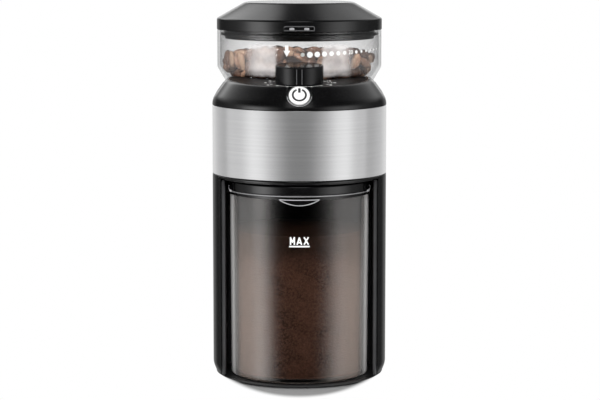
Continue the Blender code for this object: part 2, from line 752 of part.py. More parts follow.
def button_tilt():
    """Turns +Z on to the shoulder's outward normal at the front."""
    return (pi / 2 - SHOULDER_LEAN, 0, 0)


def on_button_axis(thing):
    thing.location = button_centre()
    thing.rotation_euler = button_tilt()
    return thing


def on_knob_axis(thing):
    thing.location = (0, KNOB_Y, DECK_Z)
    thing.rotation_euler = (DECK_TILT, 0, 0)
    return thing


def bezel_radius():
    return BUTTON_RADIUS + BUTTON_GAP + BEZEL_WALL


def make_top_cover(paint):
    cover = shoulder_solid("top_cover", 0, paint["black_gloss"])
    cut(cover, shoulder_solid("cover_inside", COVER_WALL))
    cut(
        settled(cover),
        turned("throat_hole", rod(THROAT_RADIUS, PLATEAU_Z - LONG_OVERRUN, PLATEAU_Z + LONG_OVERRUN), steps=36),
        on_knob_axis(turned("dial_hole", rod(DIAL_SHAFT_RADIUS + 2 * GAP, -LONG_OVERRUN, LONG_OVERRUN), steps=24)),
        on_button_axis(turned("bezel_hole", rod(bezel_radius() + GAP, -LONG_OVERRUN, LONG_OVERRUN), steps=32)),
    )
    return cover


def make_button(paint):
    """Bezel, cap with its stem, tact switch and the small board behind them, all along the button's axis."""
    inner = BUTTON_RADIUS + BUTTON_GAP
    bezel = on_button_axis(turned("button_bezel", washer(bezel_radius(), inner, -BEZEL_LENGTH, -BEZEL_SINK),
                                  paint["black_satin"], steps=28))
    cut(bezel, deck_cutter("bezel_deck", 0))
    stem_end = -BEZEL_LENGTH + SWITCH_HEIGHT + BUTTON_TRAVEL + GAP
    skirt = BUTTON_PROUD - BUTTON_HEIGHT
    cap = [(0, BUTTON_PROUD), (BUTTON_RADIUS * 0.8, BUTTON_PROUD - 0.2 * MM), (BUTTON_RADIUS, BUTTON_PROUD - 1 * MM),
           (BUTTON_RADIUS, skirt), (STEM_RADIUS, skirt), (STEM_RADIUS, stem_end), (0, stem_end)]
    on_button_axis(turned("power_button", cap, paint["white"], steps=28))
    half = SWITCH_SIDE / 2
    switch = block("tact_switch", (-half, -half, 0), (half, half, SWITCH_HEIGHT - GAP), paint["black_satin"])
    centre_block_on_button_axis(switch, -BEZEL_LENGTH + (SWITCH_HEIGHT - GAP) / 2)
    board = rod(bezel_radius(), -BEZEL_LENGTH - GAP - BOARD_THICKNESS, -BEZEL_LENGTH - GAP)
    on_button_axis(turned("switch_board", board, paint["board"], steps=24))


def centre_block_on_button_axis(thing, along):
    turn = Matrix.Rotation(button_tilt()[0], 3, "X")
    thing.location = button_centre() + turn @ Vector((0, 0, along))
    thing.rotation_euler = button_tilt()


def make_knob(paint):
    """Knob and its shaft turn together; the potentiometer and the control board hang under the deck."""
    low = GAP
    top = low + KNOB_HEIGHT
    crown = top - KNOB_CROWN
    profile = [(0, top), (KNOB_RADIUS - KNOB_EDGE, top), (KNOB_RADIUS, top - KNOB_EDGE),
               (KNOB_RADIUS, low + KNOB_FLARE), (KNOB_RADIUS - KNOB_FLARE, low), (KNOB_BORE, low),
               (KNOB_BORE, crown), (0, crown)]
    on_knob_axis(turned("dial_knob", profile, paint["black_satin"], steps=36))
    under = -COVER_WALL - GAP
    shaft = rod(DIAL_SHAFT_RADIUS, under - POT_SHAFT_DEPTH, crown - GAP)
    on_knob_axis(turned("knob_shaft", shaft, paint["zinc"], steps=20))
    half = POT_SIDE / 2
    pot = block("potentiometer", (-half, -half, under - POT_HEIGHT), (half, half, under), paint["zinc"])
    place_on_deck_plane(pot)
    cut(pot, on_knob_axis(turned("pot_bore", rod(DIAL_SHAFT_RADIUS + GAP, under - POT_SHAFT_DEPTH - GAP, 0), steps=20)))
    board_top = under - POT_HEIGHT - GAP
    board = block(
        "control_board",
        (-CONTROL_BOARD_WIDTH / 2, -POT_SIDE / 2, board_top - BOARD_THICKNESS),
        (CONTROL_BOARD_WIDTH / 2, CONTROL_BOARD_DEPTH - POT_SIDE / 2, board_top),
        paint["board"],
    )
    place_on_deck_plane(board)


def place_on_deck_plane(thing):
    """Turns a block that was laid out about the knob's foot into the deck's tilted frame."""
    turn = Matrix.Rotation(DECK_TILT, 3, "X")
    thing.location = Vector((0, KNOB_Y, DECK_Z)) + turn @ thing.location
    thing.rotation_euler = (DECK_TILT, 0, 0)


# ---------------------------------------------------------------- motor, gears and burrs


def chute_box(outset):
    """Half width and the two Y limits of the chute's passage, grown by an outset."""
    rear = AXIS_Y - CHAMBER_RADIUS - CHAMBER_WALL - CHUTE_WALL
    return CHUTE_WIDTH / 2 + outset, rear - CHUTE_DEPTH - outset, rear + outset


def make_motor(paint):
    top = CHASSIS_BOTTOM - GAP
    bottom = top - MOTOR_LENGTH
    cap_top = bottom - GAP
    bore = MOTOR_SHAFT_RADIUS + GAP
    can = [(MOTOR_RADIUS - 1 * MM, top), (MOTOR_RADIUS, top - 1 * MM), (MOTOR_RADIUS, bottom), (bore, bottom),
           (bore, top)]
    turned("motor_can", can, paint["zinc"], MOTOR, 24)
    cap = [(MOTOR_RADIUS, cap_top), (MOTOR_RADIUS, cap_top - MOTOR_CAP + 2 * MM),
           (MOTOR_RADIUS - 2 * MM, cap_top - MOTOR_CAP), (0, cap_top - MOTOR_CAP), (0, cap_top - MOTOR_CAP + 2 * MM),
           (bore, cap_top - MOTOR_CAP + 2 * MM), (bore, cap_top)]
    turned("motor_cap", cap, paint["black_satin"], MOTOR, 24)
    shaft = rod(MOTOR_SHAFT_RADIUS, cap_top - MOTOR_CAP + 2 * MM + GAP, FAST_GEAR_Z + FAST_FACE + 1 * MM)
    turned("motor_shaft", shaft, paint["zinc"], MOTOR, 16)


def gearbox_outline(outset):
    slow = SLOW_MODULE * (BURR_GEAR_TEETH / 2 + 1) + GEARBOX_MARGIN + outset
    fast = FAST_MODULE * (IDLER_LARGE_TEETH / 2 + 1) + GEARBOX_MARGIN + outset
    small = FAST_MODULE * (PINION_TEETH / 2 + 1) + GEARBOX_MARGIN + outset
    return belt([((AXIS.x, AXIS.y), slow), ((IDLER.x, IDLER.y), fast), ((MOTOR.x, MOTOR.y), small)])


def gear_screw_places():
    """On ears outside the gearbox wall: left and front right of the burr gear, and beside the idler."""
    reach = SLOW_MODULE * (BURR_GEAR_TEETH / 2 + 1) + GEARBOX_MARGIN + GEARBOX_WALL + EAR_STANDOFF
    side = FAST_MODULE * (IDLER_LARGE_TEETH / 2 + 1) + GEARBOX_MARGIN + GEARBOX_WALL + EAR_STANDOFF
    return [AXIS + Vector((-reach, 0, 0)), AXIS + Vector((reach * sin(pi / 6), -reach * cos(pi / 6), 0)),
            IDLER + Vector((side * cos(pi / 9), -side * sin(pi / 9), 0))]


def make_gearbox(paint):
    floor = FLOOR_TOP + GAP
    case = slab("gearbox_case", [gearbox_outline(GEARBOX_WALL)], floor, GEARBOX_TOP, paint["nylon"])
    for number, place in enumerate(gear_screw_places(), 1):
        join(case, turned(f"case_ear_{number}", rod(EAR_RADIUS, floor, GEARBOX_TOP), centre=place, steps=14))
    cut(case, slab("case_inside", [gearbox_outline(0)], floor + GEARBOX_WALL, GEARBOX_TOP + OVERRUN))
    cut(
        case,
        turned("pinion_way", rod(MOTOR_SHAFT_RADIUS + SHAFT_CLEARANCE, floor - OVERRUN, floor + GEARBOX_WALL + OVERRUN), centre=MOTOR,
               steps=20),
        turned("bearing_seat", rod(SHAFT_RADIUS + BEARING_WALL + GAP, floor + SEAT_FLOOR, floor + GEARBOX_WALL + OVERRUN), steps=24),
        turned("pin_seat", rod(IDLER_PIN_RADIUS + GAP, floor + SEAT_FLOOR, floor + GEARBOX_WALL + OVERRUN), centre=IDLER, steps=16),
    )
    plate_low = GEARBOX_TOP + GAP
    plate_high = plate_low + COVER_PLATE
    plate = slab("gearbox_cover", [gearbox_outline(GEARBOX_WALL)], plate_low, plate_high, paint["nylon"])
    for number, place in enumerate(gear_screw_places(), 1):
        join(plate, turned(f"cover_ear_{number}", rod(EAR_RADIUS, plate_low, plate_high), centre=place, steps=14))
        end = GEARBOX_TOP - GEAR_SCREW_DEPTH
        bore = rod(GEAR_SCREW_RADIUS + GAP, end - OVERRUN, plate_high + OVERRUN)
        cut(plate, turned(f"cover_bore_{number}", bore, centre=place, steps=10))
        cut(case, turned(f"ear_bore_{number}", bore, centre=place, steps=10))
        head = plate_high + GAP
        head_top = head + GEAR_SCREW_HEAD_HEIGHT
        profile = [(0, head_top), (GEAR_SCREW_HEAD, head_top), (GEAR_SCREW_HEAD, head), (GEAR_SCREW_RADIUS, head),
                   (GEAR_SCREW_RADIUS, end), (0, end)]
        turned(f"gearbox_screw_{number}", profile, paint["zinc"], place, 12)
    cut(plate, turned("shaft_way", rod(SHAFT_RADIUS + SHAFT_CLEARANCE, plate_low - OVERRUN, plate_high + OVERRUN), steps=24))
    pin_low = floor + SEAT_FLOOR + GAP
    turned("idler_pin", rod(IDLER_PIN_RADIUS, pin_low, GEARBOX_TOP), paint["zinc"], IDLER, 16)


def make_gears(paint):
    to_idler = atan2(IDLER.y - AXIS.y, IDLER.x - AXIS.x)
    to_motor = atan2(MOTOR.y - IDLER.y, MOTOR.x - IDLER.x)
    fast_top = FAST_GEAR_Z + FAST_FACE
    slow_top = SLOW_GEAR_Z + SLOW_FACE
    pin_bore = IDLER_PIN_RADIUS + GAP
    gear("burr_gear", BURR_GEAR_TEETH, SLOW_MODULE, to_idler, SHAFT_RADIUS + GAP, SLOW_GEAR_Z, slow_top, AXIS,
         paint["nylon"])
    gear("idler_small_gear", IDLER_SMALL_TEETH, SLOW_MODULE, to_idler + pi + pi / IDLER_SMALL_TEETH, pin_bore,
         SLOW_GEAR_Z, slow_top, IDLER, paint["zinc"])
    gear("idler_large_gear", IDLER_LARGE_TEETH, FAST_MODULE, to_motor, pin_bore, FAST_GEAR_Z, fast_top, IDLER,
         paint["nylon"])
    gear("motor_pinion", PINION_TEETH, FAST_MODULE, to_motor + pi + pi / PINION_TEETH, MOTOR_SHAFT_RADIUS + GAP,
         FAST_GEAR_Z, fast_top, MOTOR, paint["zinc"])


def make_burr_shaft(paint):
    floor = FLOOR_TOP + GAP
    seat = floor + SEAT_FLOOR + GAP
    turned("burr_shaft", rod(SHAFT_RADIUS, seat, NUT_Z + NUT_HEIGHT + SHAFT_TIP), paint["zinc"], steps=24)
    bearing = SHAFT_RADIUS + BEARING_WALL
    bore = SHAFT_RADIUS + GAP
    turned("lower_bearing", washer(bearing, bore, seat, seat + BEARING_HEIGHT), paint["bronze"], steps=24)
    upper = CHAMBER_BOTTOM + GAP
    turned("upper_bearing", washer(bearing, bore, upper, upper + BEARING_HEIGHT), paint["bronze"], steps=24)
    nut_outline = circle(NUT_RADIUS, 6)
    slab("burr_nut", [nut_outline, circle(bore, 18)], NUT_Z, NUT_Z + NUT_HEIGHT, paint["zinc"], AXIS)


def make_chamber(paint):
    """The cup round the burrs, open at the front low down, where the chute carries the grounds away."""
    outer = CHAMBER_RADIUS + CHAMBER_WALL
    seat = SHAFT_RADIUS + BEARING_WALL + GAP
    profile = [(outer, CHAMBER_TOP), (outer, CHAMBER_BOTTOM), (seat, CHAMBER_BOTTOM), (seat, CHAMBER_FLOOR_TOP),
               (CHAMBER_RADIUS, CHAMBER_FLOOR_TOP), (CHAMBER_RADIUS, CHAMBER_TOP)]
    chamber = turned("grind_chamber", profile, paint["black_satin"], steps=36)
    port = CHUTE_WIDTH / 2
    port_top = CHAMBER_FLOOR_TOP + PORT_HEIGHT
    front = AXIS_Y - outer - LONG_OVERRUN
    cut(chamber, block("chamber_port", (-port, front, CHAMBER_FLOOR_TOP), (port, AXIS_Y - CONE_RADIUS, port_top)))
    for number, place in enumerate(gear_screw_places(), 1):
        relief = rod(GEAR_SCREW_HEAD + 2 * GAP, CHAMBER_BOTTOM - OVERRUN, CHAMBER_BOTTOM + GEAR_SCREW_HEAD_HEIGHT + GAP)
        cut(chamber, turned(f"screw_relief_{number}", relief, centre=place, steps=16))
    make_chute(port, port_top, paint)
    return chamber


def make_chute(port, port_top, paint):
    """A square tube down to the bay, closed above, with a window facing the chamber."""
    x, low, high = chute_box(0)
    wall = CHUTE_WALL
    bottom = BAY_ROOF - JAR_LID_DROP + GAP
    top = port_top + wall
    chute = block("grounds_chute", (-x - wall, low - wall, bottom), (x + wall, high + wall, top), paint["black_satin"])
    return cut(
        chute,
        block("chute_inside", (-x, low, bottom - OVERRUN), (x, high, port_top)),
        block("chute_window", (-port, low, CHAMBER_FLOOR_TOP), (port, high + 2 * wall, port_top)),
        turned("chamber_relief", rod(CHAMBER_RADIUS + CHAMBER_WALL + GAP, bottom - OVERRUN, top + OVERRUN), steps=36),
        slab("gearbox_relief", [gearbox_outline(GEARBOX_WALL + GAP)], bottom - OVERRUN, CHAMBER_BOTTOM),
    )


def make_burrs(paint):
    """Cone and ring share one taper, with the grinding gap between them."""
    bore = SHAFT_RADIUS + GAP
    low = CONE_Z
    high = CONE_Z + CONE_HEIGHT
    cone = turned("cone_burr", [(CONE_TOP_RADIUS, high), (CONE_RADIUS, low), (bore, low), (bore, high)],
                  paint["burr_steel"], steps=36)
    for number in range(CONE_FLUTES):
        turn = 2 * pi * number / CONE_FLUTES
        flute = block(f"flute_{number + 1}", (-0.9 * MM, -1.2 * MM, -CONE_HEIGHT), (0.9 * MM, 1.2 * MM, CONE_HEIGHT))
        lean = atan2(CONE_RADIUS - CONE_TOP_RADIUS, CONE_HEIGHT)
        middle = (CONE_RADIUS + CONE_TOP_RADIUS) / 2
        spin = Matrix.Rotation(turn, 4, "Z")
        flute.matrix_world = (Matrix.Translation(AXIS + Vector((0, 0, (low + high) / 2))) @ spin
                              @ Matrix.Translation((0, -middle, 0)) @ Matrix.Rotation(-lean, 4, "X")
                              @ Matrix.Rotation(radians(12), 4, "Y"))
        cut(cone, flute)
    hub = SHAFT_RADIUS + HUB_WALL
    sweep_low = CONE_Z - GAP - IMPELLER_HEIGHT
    sweeper = turned("impeller", washer(hub, bore, sweep_low, sweep_low + IMPELLER_HEIGHT), paint["nylon"], steps=24)
    reach = CHAMBER_RADIUS - BLADE_CLEARANCE
    for number in range(IMPELLER_BLADES):
        blade = block(f"blade_{number + 1}", (hub - 1 * MM, -1 * MM, sweep_low), (reach, 1 * MM, CONE_Z - GAP))
        middle = blade.location.copy()
        blade.matrix_world = (Matrix.Translation(AXIS) @ Matrix.Rotation(2 * pi * number / IMPELLER_BLADES, 4, "Z")
                              @ Matrix.Translation(middle))
        join(sweeper, blade)
    make_ring_burr(low, high, paint)


def make_ring_burr(low, high, paint):
    """The ring burr in its carrier; the carrier's neck is threaded into the adjust ring."""
    bottom = low + RING_RAISE
    top = high - RING_DROP
    slope = (CONE_RADIUS - CONE_TOP_RADIUS) / CONE_HEIGHT

    def cone_radius(height):
        return CONE_RADIUS - slope * (height - low)

    outer = CONE_RADIUS + CONE_CLEARANCE + RING_WALL
    ring = [(outer, top), (outer, bottom), (cone_radius(bottom) + CONE_CLEARANCE, bottom),
            (cone_radius(bottom + 8 * MM) + CONE_CLEARANCE, bottom + 8 * MM), (outer - 1.6 * MM, top)]
    turned("ring_burr", ring, paint["burr_steel"], steps=36)
    seat = outer + GAP
    neck = adjust_bore() - GAP
    carrier = [(neck, CARRIER_TOP), (neck, CHAMBER_TOP - 3 * MM),
               (CHAMBER_RADIUS - GAP, CHAMBER_TOP - 3 * MM), (CHAMBER_RADIUS - GAP, bottom),
               (seat, bottom), (seat, top + GAP), (outer - 1.6 * MM, top + GAP), (neck - 2 * MM, CARRIER_TOP)]
    turned("burr_carrier", carrier, paint["nylon"], steps=36)


def adjust_bore():
    return THROAT_RADIUS - GAP - ADJUST_WALL


def make_adjust_ring(paint):
    outer = THROAT_RADIUS - GAP
    flange = outer + ADJUST_FLANGE
    profile = [(outer, ADJUST_TOP), (outer, ADJUST_Z + FLANGE_HEIGHT), (flange, ADJUST_Z + FLANGE_HEIGHT),
               (flange, ADJUST_Z), (adjust_bore(), ADJUST_Z), (adjust_bore(), ADJUST_TOP)]
    turned("adjust_ring", profile, paint["black_satin"], steps=36)


# ---------------------------------------------------------------- hopper, lid and jar


def make_hopper(paint):
    wall = HOPPER_WALL
    collar = min(HOPPER_THROAT + wall, adjust_bore() - GAP)
    bore = collar - wall
    low = HOPPER_Z
    knee = low + HOPPER_TAPER
    profile = [
        (HOPPER_RADIUS, HOPPER_TOP), (HOPPER_RADIUS, knee), (HOPPER_RADIUS - 0.9 * MM, knee - 3 * MM),
        (HOPPER_FOOT_RADIUS + 0.9 * MM, low + 1.4 * MM), (HOPPER_FOOT_RADIUS, low),
        (collar, low), (collar, low - HOPPER_COLLAR), (bore, low - HOPPER_COLLAR), (bore, low + wall),
        (HOPPER_FOOT_RADIUS - wall, low + wall + 1.4 * MM), (HOPPER_RADIUS - wall, knee + 1 * MM),
        (HOPPER_RADIUS - wall, HOPPER_TOP),
    ]
    return turned("hopper", profile, paint["clear"], steps=52)


def make_lid(paint):
    """Coned top, straight rim that sits on the hopper's edge, and a skirt inside it that carries the seal."""
    wall = LID_WALL
    outer = HOPPER_RADIUS + LID_OVERHANG
    rim_top = LID_Z + LID_RIM
    top = rim_top + LID_SLOPE_HEIGHT
    skirt = HOPPER_RADIUS - HOPPER_WALL - LID_SKIRT_GAP
    skirt_bottom = LID_Z - LID_SKIRT
    profile = [
        (0, top), (LID_TOP_RADIUS, top), (outer - LID_BEAD, rim_top + LID_BEAD), (outer, rim_top), (outer, LID_Z),
        (skirt, LID_Z), (skirt - SKIRT_DRAFT, skirt_bottom), (skirt - wall, skirt_bottom),
        (skirt - wall, rim_top - wall), (LID_TOP_RADIUS - wall, top - wall), (0, top - wall),
    ]
    lid = turned("lid", profile, paint["black_gloss"], steps=52)
    front = AXIS_Y - outer
    catch = block(
        "catch_tab",
        (-CATCH_HALF_WIDTH, front - CATCH_REACH, LID_Z + GAP),
        (CATCH_HALF_WIDTH, front + CATCH_ROOT, LID_Z + CATCH_HEIGHT),
    )
    join(lid, catch)
    seal_mid = LID_Z - LID_SKIRT / 2
    seal = washer(HOPPER_RADIUS - HOPPER_WALL - GAP, skirt + GAP, seal_mid - SEAL_HEIGHT / 2, seal_mid + SEAL_HEIGHT / 2)
    turned("lid_seal", seal, paint["seal"], steps=36)
    return lid


def jar_section(inset, z, draft=0.0):
    grow = -inset - draft
    outline = rounded_front(JAR_HALF_WIDTH + grow, JAR_FRONT + grow, JAR_BACK + grow, JAR_CORNER + grow)
    return [(x, y, z) for x, y in outline]


def make_jar(paint):
    jar = loft("jar", [jar_section(0, JAR_BOTTOM, JAR_DRAFT), jar_section(0, JAR_TOP)], paint["smoked"])
    cavity = loft("jar_inside", [
        jar_section(JAR_WALL, JAR_BOTTOM + JAR_WALL, JAR_DRAFT), jar_section(JAR_WALL, JAR_TOP + OVERRUN)])
    return cut(jar, cavity)


def make_jar_lid(paint):
    """A cap over the jar's edge, with the opening under the chute and a finger tab at the front."""
    low = JAR_LID_TOP - JAR_LID_HEIGHT
    outer = -GAP - JAR_LID_WALL
    lid = loft("jar_lid", [jar_section(outer, low), jar_section(outer, JAR_LID_TOP)], paint["black_gloss"])
    cut(lid, loft("jar_lid_inside", [jar_section(-GAP, low - OVERRUN), jar_section(-GAP, JAR_TOP + GAP)]))
    x, back, front = chute_box(APERTURE_MARGIN)
    cut(lid, block("aperture", (-x, back, JAR_TOP - OVERRUN), (x, front, JAR_LID_TOP + OVERRUN)))
    nose = FRONT_Y - JAR_FRONT + outer
    sag = TAB_REACH + JAR_LID_WALL
    radius = (TAB_HALF_WIDTH**2 + sag**2) / (2 * sag)
    spread = asin(TAB_HALF_WIDTH / radius)
    tab = arc((0, nose - TAB_REACH + radius), radius, -pi / 2 - spread, -pi / 2 + spread, 12)
    clear = jar_section(-GAP, low - 2 * TAB_DROP), jar_section(-GAP, low + OVERRUN)
    lip = slab("finger_tab", [tab], low - TAB_DROP, low + TAB_ROOT)
    return join(lid, cut(lip, loft("tab_relief", clear)))


# ---------------------------------------------------------------- electrics and cord inlet


def gland_neck():
    return GLAND_BORE + GLAND_WALL


def make_gland(paint):
    """A flanged bush in the rear wall, its foot at the outermost point of the body."""
    neck = gland_neck()
    inside = -SHELL_WALL - GLAND_TAIL
    profile = [(GLAND_RADIUS - GLAND_EDGE, GLAND_REACH), (GLAND_RADIUS, GLAND_REACH - GLAND_EDGE), (GLAND_RADIUS, GAP),
               (neck, GAP), (neck, inside), (GLAND_BORE, inside), (GLAND_BORE, GLAND_REACH)]
    return along_y(turned("cord_gland", profile, paint["rubber"], steps=24), REAR_Y)


def make_power_board(paint):
    y = AXIS_Y + POWER_BOARD_SETBACK
    half = POWER_BOARD_WIDTH / 2
    block("power_board", (-half, y, SHELL_BOTTOM), (half, y + BOARD_THICKNESS, SHELL_BOTTOM + POWER_BOARD_HEIGHT),
          paint["board"])
    side = TRANSFORMER_WIDTH / 2
    near = y - GAP
    block("transformer", (-side, near - TRANSFORMER_DEPTH, SHELL_BOTTOM),
          (side, near, SHELL_BOTTOM + TRANSFORMER_HEIGHT), paint["coil"])


def make_hopper_switch(paint):
    """The safety switch that the hopper presses, under the plateau beside the throat."""
    top = PLATEAU_Z - COVER_WALL - GAP
    outer = THROAT_RADIUS - GAP + ADJUST_FLANGE
    near = outer + 2 * GAP
    half = HOPPER_SWITCH_DEPTH / 2
    block("hopper_switch", (-near - HOPPER_SWITCH_WIDTH, AXIS_Y - half, top - HOPPER_SWITCH_HEIGHT),
          (-near, AXIS_Y + half, top), paint["black_satin"])


def main():
    clear_scene()
    paint = make_materials()
    make_base(paint)
    make_shell(paint)
    make_bay_liner(paint)
    make_band(paint)
    make_chassis(paint)
    make_top_cover(paint)
    make_button(paint)
    make_knob(paint)
    make_motor(paint)
    make_gearbox(paint)
    make_gears(paint)
    make_burr_shaft(paint)
    make_chamber(paint)
    make_burrs(paint)
    make_adjust_ring(paint)
    make_hopper(paint)
    make_lid(paint)
    make_jar(paint)
    make_jar_lid(paint)
    make_gland(paint)
    make_power_board(paint)
    make_hopper_switch(paint)


if __name__ == "__main__":
    main()
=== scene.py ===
"""Burr coffee grinder: fine surfaces, finishes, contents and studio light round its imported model.

+Z is up and the front faces -Y. Shapes are written in millimetres, which Solid turns into metres. The body is a
stadium in plan. The burrs, the hopper and the lid share the centre of its rear half circle, and the jar and the
button face the front.
"""

import json
import logging
from contextlib import contextmanager
from dataclasses import dataclass
from enum import Enum
from functools import lru_cache
from math import asin, cos, pi, radians, sin, sqrt, tan
from typing import Callable, ClassVar, Iterator

import bmesh
import bpy
from mathutils import Matrix, Vector

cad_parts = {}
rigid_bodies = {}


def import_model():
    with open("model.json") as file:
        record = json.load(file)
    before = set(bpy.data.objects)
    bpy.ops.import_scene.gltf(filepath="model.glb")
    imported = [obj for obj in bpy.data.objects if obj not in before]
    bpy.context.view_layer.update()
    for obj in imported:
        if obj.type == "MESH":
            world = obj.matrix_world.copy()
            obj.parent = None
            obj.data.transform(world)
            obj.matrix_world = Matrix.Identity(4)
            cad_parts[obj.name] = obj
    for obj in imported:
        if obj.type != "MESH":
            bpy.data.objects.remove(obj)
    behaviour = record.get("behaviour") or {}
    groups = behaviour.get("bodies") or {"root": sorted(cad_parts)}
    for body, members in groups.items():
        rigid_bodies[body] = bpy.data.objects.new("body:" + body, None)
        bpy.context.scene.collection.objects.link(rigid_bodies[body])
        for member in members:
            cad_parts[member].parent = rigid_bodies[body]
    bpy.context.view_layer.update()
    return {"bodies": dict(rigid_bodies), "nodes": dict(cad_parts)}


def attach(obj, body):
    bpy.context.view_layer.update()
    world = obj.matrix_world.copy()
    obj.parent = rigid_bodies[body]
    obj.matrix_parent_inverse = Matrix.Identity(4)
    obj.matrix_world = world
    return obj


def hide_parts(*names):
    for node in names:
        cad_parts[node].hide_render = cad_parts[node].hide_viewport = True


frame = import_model()

log = logging.getLogger("grinder")

MM = 0.001
UP = Vector((0, 0, 1))
WHITE = (1.0, 1.0, 1.0)
Point = tuple[float, float]
Place = tuple[float, float, float]
Plan = Callable[[float], list[Point]]


# ---------------------------------------------------------------- nodes written as sums


def _sum(operation: str, swapped: bool = False) -> Callable[..., "Value"]:
    """A method that puts a value and something else through one Math node."""

    def method(self: "Value", other: object = 0.0) -> "Value":
        """The node's result."""
        first, second = (other, self) if swapped else (self, other)
        return self.graph.node("ShaderNodeMath", {"operation": operation}, {0: first, 1: second})

    return method


class Value:
    """A node's output that takes part in Python sums."""

    __add__ = __radd__ = _sum("ADD")
    __sub__, __rsub__ = _sum("SUBTRACT"), _sum("SUBTRACT", True)
    __mul__ = __rmul__ = _sum("MULTIPLY")
    __truediv__, __pow__ = _sum("DIVIDE"), _sum("POWER")
    most, least = _sum("MAXIMUM"), _sum("MINIMUM")
    size, sine, cosine, turn = _sum("ABSOLUTE"), _sum("SINE"), _sum("COSINE"), _sum("ARCTAN2")

    def __init__(self, graph: "Graph", socket: bpy.types.NodeSocket) -> None:
        """Keeps the socket and the graph that it belongs to."""
        self.graph, self.socket = graph, socket

    def out(self, name: str) -> "Value":
        """Another output of the same node."""
        return Value(self.graph, self.socket.node.outputs[name])

    def step(self, low: float, high: float) -> "Value":
        """0 below low, 1 above high, and a smooth rise between them."""
        ends = {0: self, 1: low, 2: high, 3: 0.0, 4: 1.0}
        return self.graph.node("ShaderNodeMapRange", {"interpolation_type": "SMOOTHSTEP"}, ends)

    def past(self, low: float, high: float) -> "Value":
        """A step between two lengths in millimetres."""
        return self.step(low * MM, high * MM)

    def axis(self, name: str) -> "Value":
        """One part of a vector."""
        return self.graph.node("ShaderNodeSeparateXYZ", {}, {0: self}, out=name)

    def vector(self, operation: str, other: object = (0.0, 0.0, 0.0), out: int | str = 0) -> "Value":
        """A Vector Math node on this vector and another."""
        return self.graph.node("ShaderNodeVectorMath", {"operation": operation}, {0: self, 1: other}, out=out)

    def noise(self, scale: float, detail: float = 2.0, rough: float = 0.5, stretch: Place | None = None) -> "Value":
        """Smooth noise between about 0 and 1 at these coordinates, scaled along each axis first where asked."""
        where = self.vector("MULTIPLY", stretch) if stretch else self
        return self.graph.node("ShaderNodeTexNoise", {"noise_dimensions": "3D"},
                               {"Vector": where, "Scale": scale, "Detail": detail, "Roughness": rough})

    def blend(self, first: object, second: object) -> "Value":
        """A colour between two colours, by this value."""
        return self.graph.node("ShaderNodeMix", {"data_type": "RGBA"}, {0: self, 6: first, 7: second}, out=2)

    def mix(self, first: "Value", second: "Value") -> "Value":
        """A shader between two shaders, by this value."""
        return self.graph.node("ShaderNodeMixShader", {}, {0: self, 1: first, 2: second})

    def bump(self, depth: float, strength: float = 1.0) -> "Value":
        """A normal that follows this height between 0 and 1, its depth in millimetres."""
        relief = {"Strength": strength, "Distance": depth * MM, "Height": self}
        return self.graph.node("ShaderNodeBump", {}, relief)


class Graph:
    """A node tree that is filled through one method."""

    def __init__(self, tree: bpy.types.NodeTree) -> None:
        """Empties the tree."""
        self.tree = tree
        tree.nodes.clear()

    def node(self, kind: str, settings: dict | None = None, inputs: dict | None = None, out: int | str = 0) -> Value:
        """Adds a node.

        Args:
            kind: the node's type.
            settings: its properties, and "stops" for a ramp's (position, grey) pairs.
            inputs: values or links of its sockets, by name or number. A colour is three numbers.
            out: the output that the result stands for.

        Returns:
            The output named by out, or the node's first input where it has no outputs.
        """
        made = self.tree.nodes.new(kind)
        for name, value in (settings or {}).items():
            if name != "stops":
                setattr(made, name, value)
                continue
            stops = made.color_ramp.elements
            while len(stops) < len(value):
                stops.new(1.0)
            for stop, (position, grey) in zip(stops, value):
                stop.position, stop.color = position, (grey, grey, grey, 1.0)
        for name, value in (inputs or {}).items():
            socket = made.inputs[name]
            if isinstance(value, Value):
                self.tree.links.new(value.socket, socket)
            else:
                socket.default_value = (*value, 1.0) if socket.type == "RGBA" else value
        return Value(self, made.outputs[out] if made.outputs else made.inputs[0])

    @classmethod
    def of(cls, owner: bpy.types.Material | bpy.types.World, kind: str, fill: Callable[["Graph"], Value]) -> object:
        """Fills the tree of a material or a world from a rule that makes its surface, and returns the owner."""
        owner.use_nodes = True
        graph = cls(owner.node_tree)
        graph.node(f"ShaderNodeOutput{kind}", {}, {"Surface": fill(graph)})
        return owner


# ---------------------------------------------------------------- finishes


SLOT_NAMES = ("black_gloss", "black_satin", "steel", "clear", "smoked", "white", "rubber", "seal", "nylon",
              "burr_steel", "zinc", "bronze", "board", "coil")
Slot = Enum("Slot", {name.upper(): name for name in SLOT_NAMES})


@dataclass(frozen=True)
class Finish:
    """A moulded surface: one colour with faint cloudiness, a fine grain and uneven gloss."""

    name: str
    colour: Place
    roughness: float
    slot: Slot | None = None
    metallic: float = 0.0
    cloud: float = 0.15
    grain: float = 900.0
    grain_depth: float = 0.01
    gloss_spread: float = 0.06
    sheen: float = 0.5

    def shade(self, factor: float, lift: float = 0.0) -> Place:
        """The colour made lighter or darker."""
        return tuple(min(1.0, c * factor + lift) for c in self.colour)

    def shader(self, where: Value, **linked: object) -> Value:
        """The Principled shader with this finish's own numbers, and the linked sockets on top."""
        inputs = {"Base Color": self.colour, "Roughness": self.roughness, "Metallic": self.metallic,
                  "Specular IOR Level": self.sheen}
        inputs.update({name.replace("_", " "): value for name, value in linked.items()})
        return where.graph.node("ShaderNodeBsdfPrincipled", {}, inputs)

    def surface(self, where: Value) -> Value:
        """The shader as it reaches the output."""
        drift, fine = where.noise(28.0, 3.0), where.noise(self.grain)
        return self.shader(
            where,
            Base_Color=drift.step(0.3, 0.7).blend(self.shade(1 - self.cloud), self.shade(1 + self.cloud, 0.002)),
            Roughness=self.roughness + self.gloss_spread * (drift - 0.5) + self.gloss_spread * (fine - 0.5),
            Normal=fine.bump(self.grain_depth))


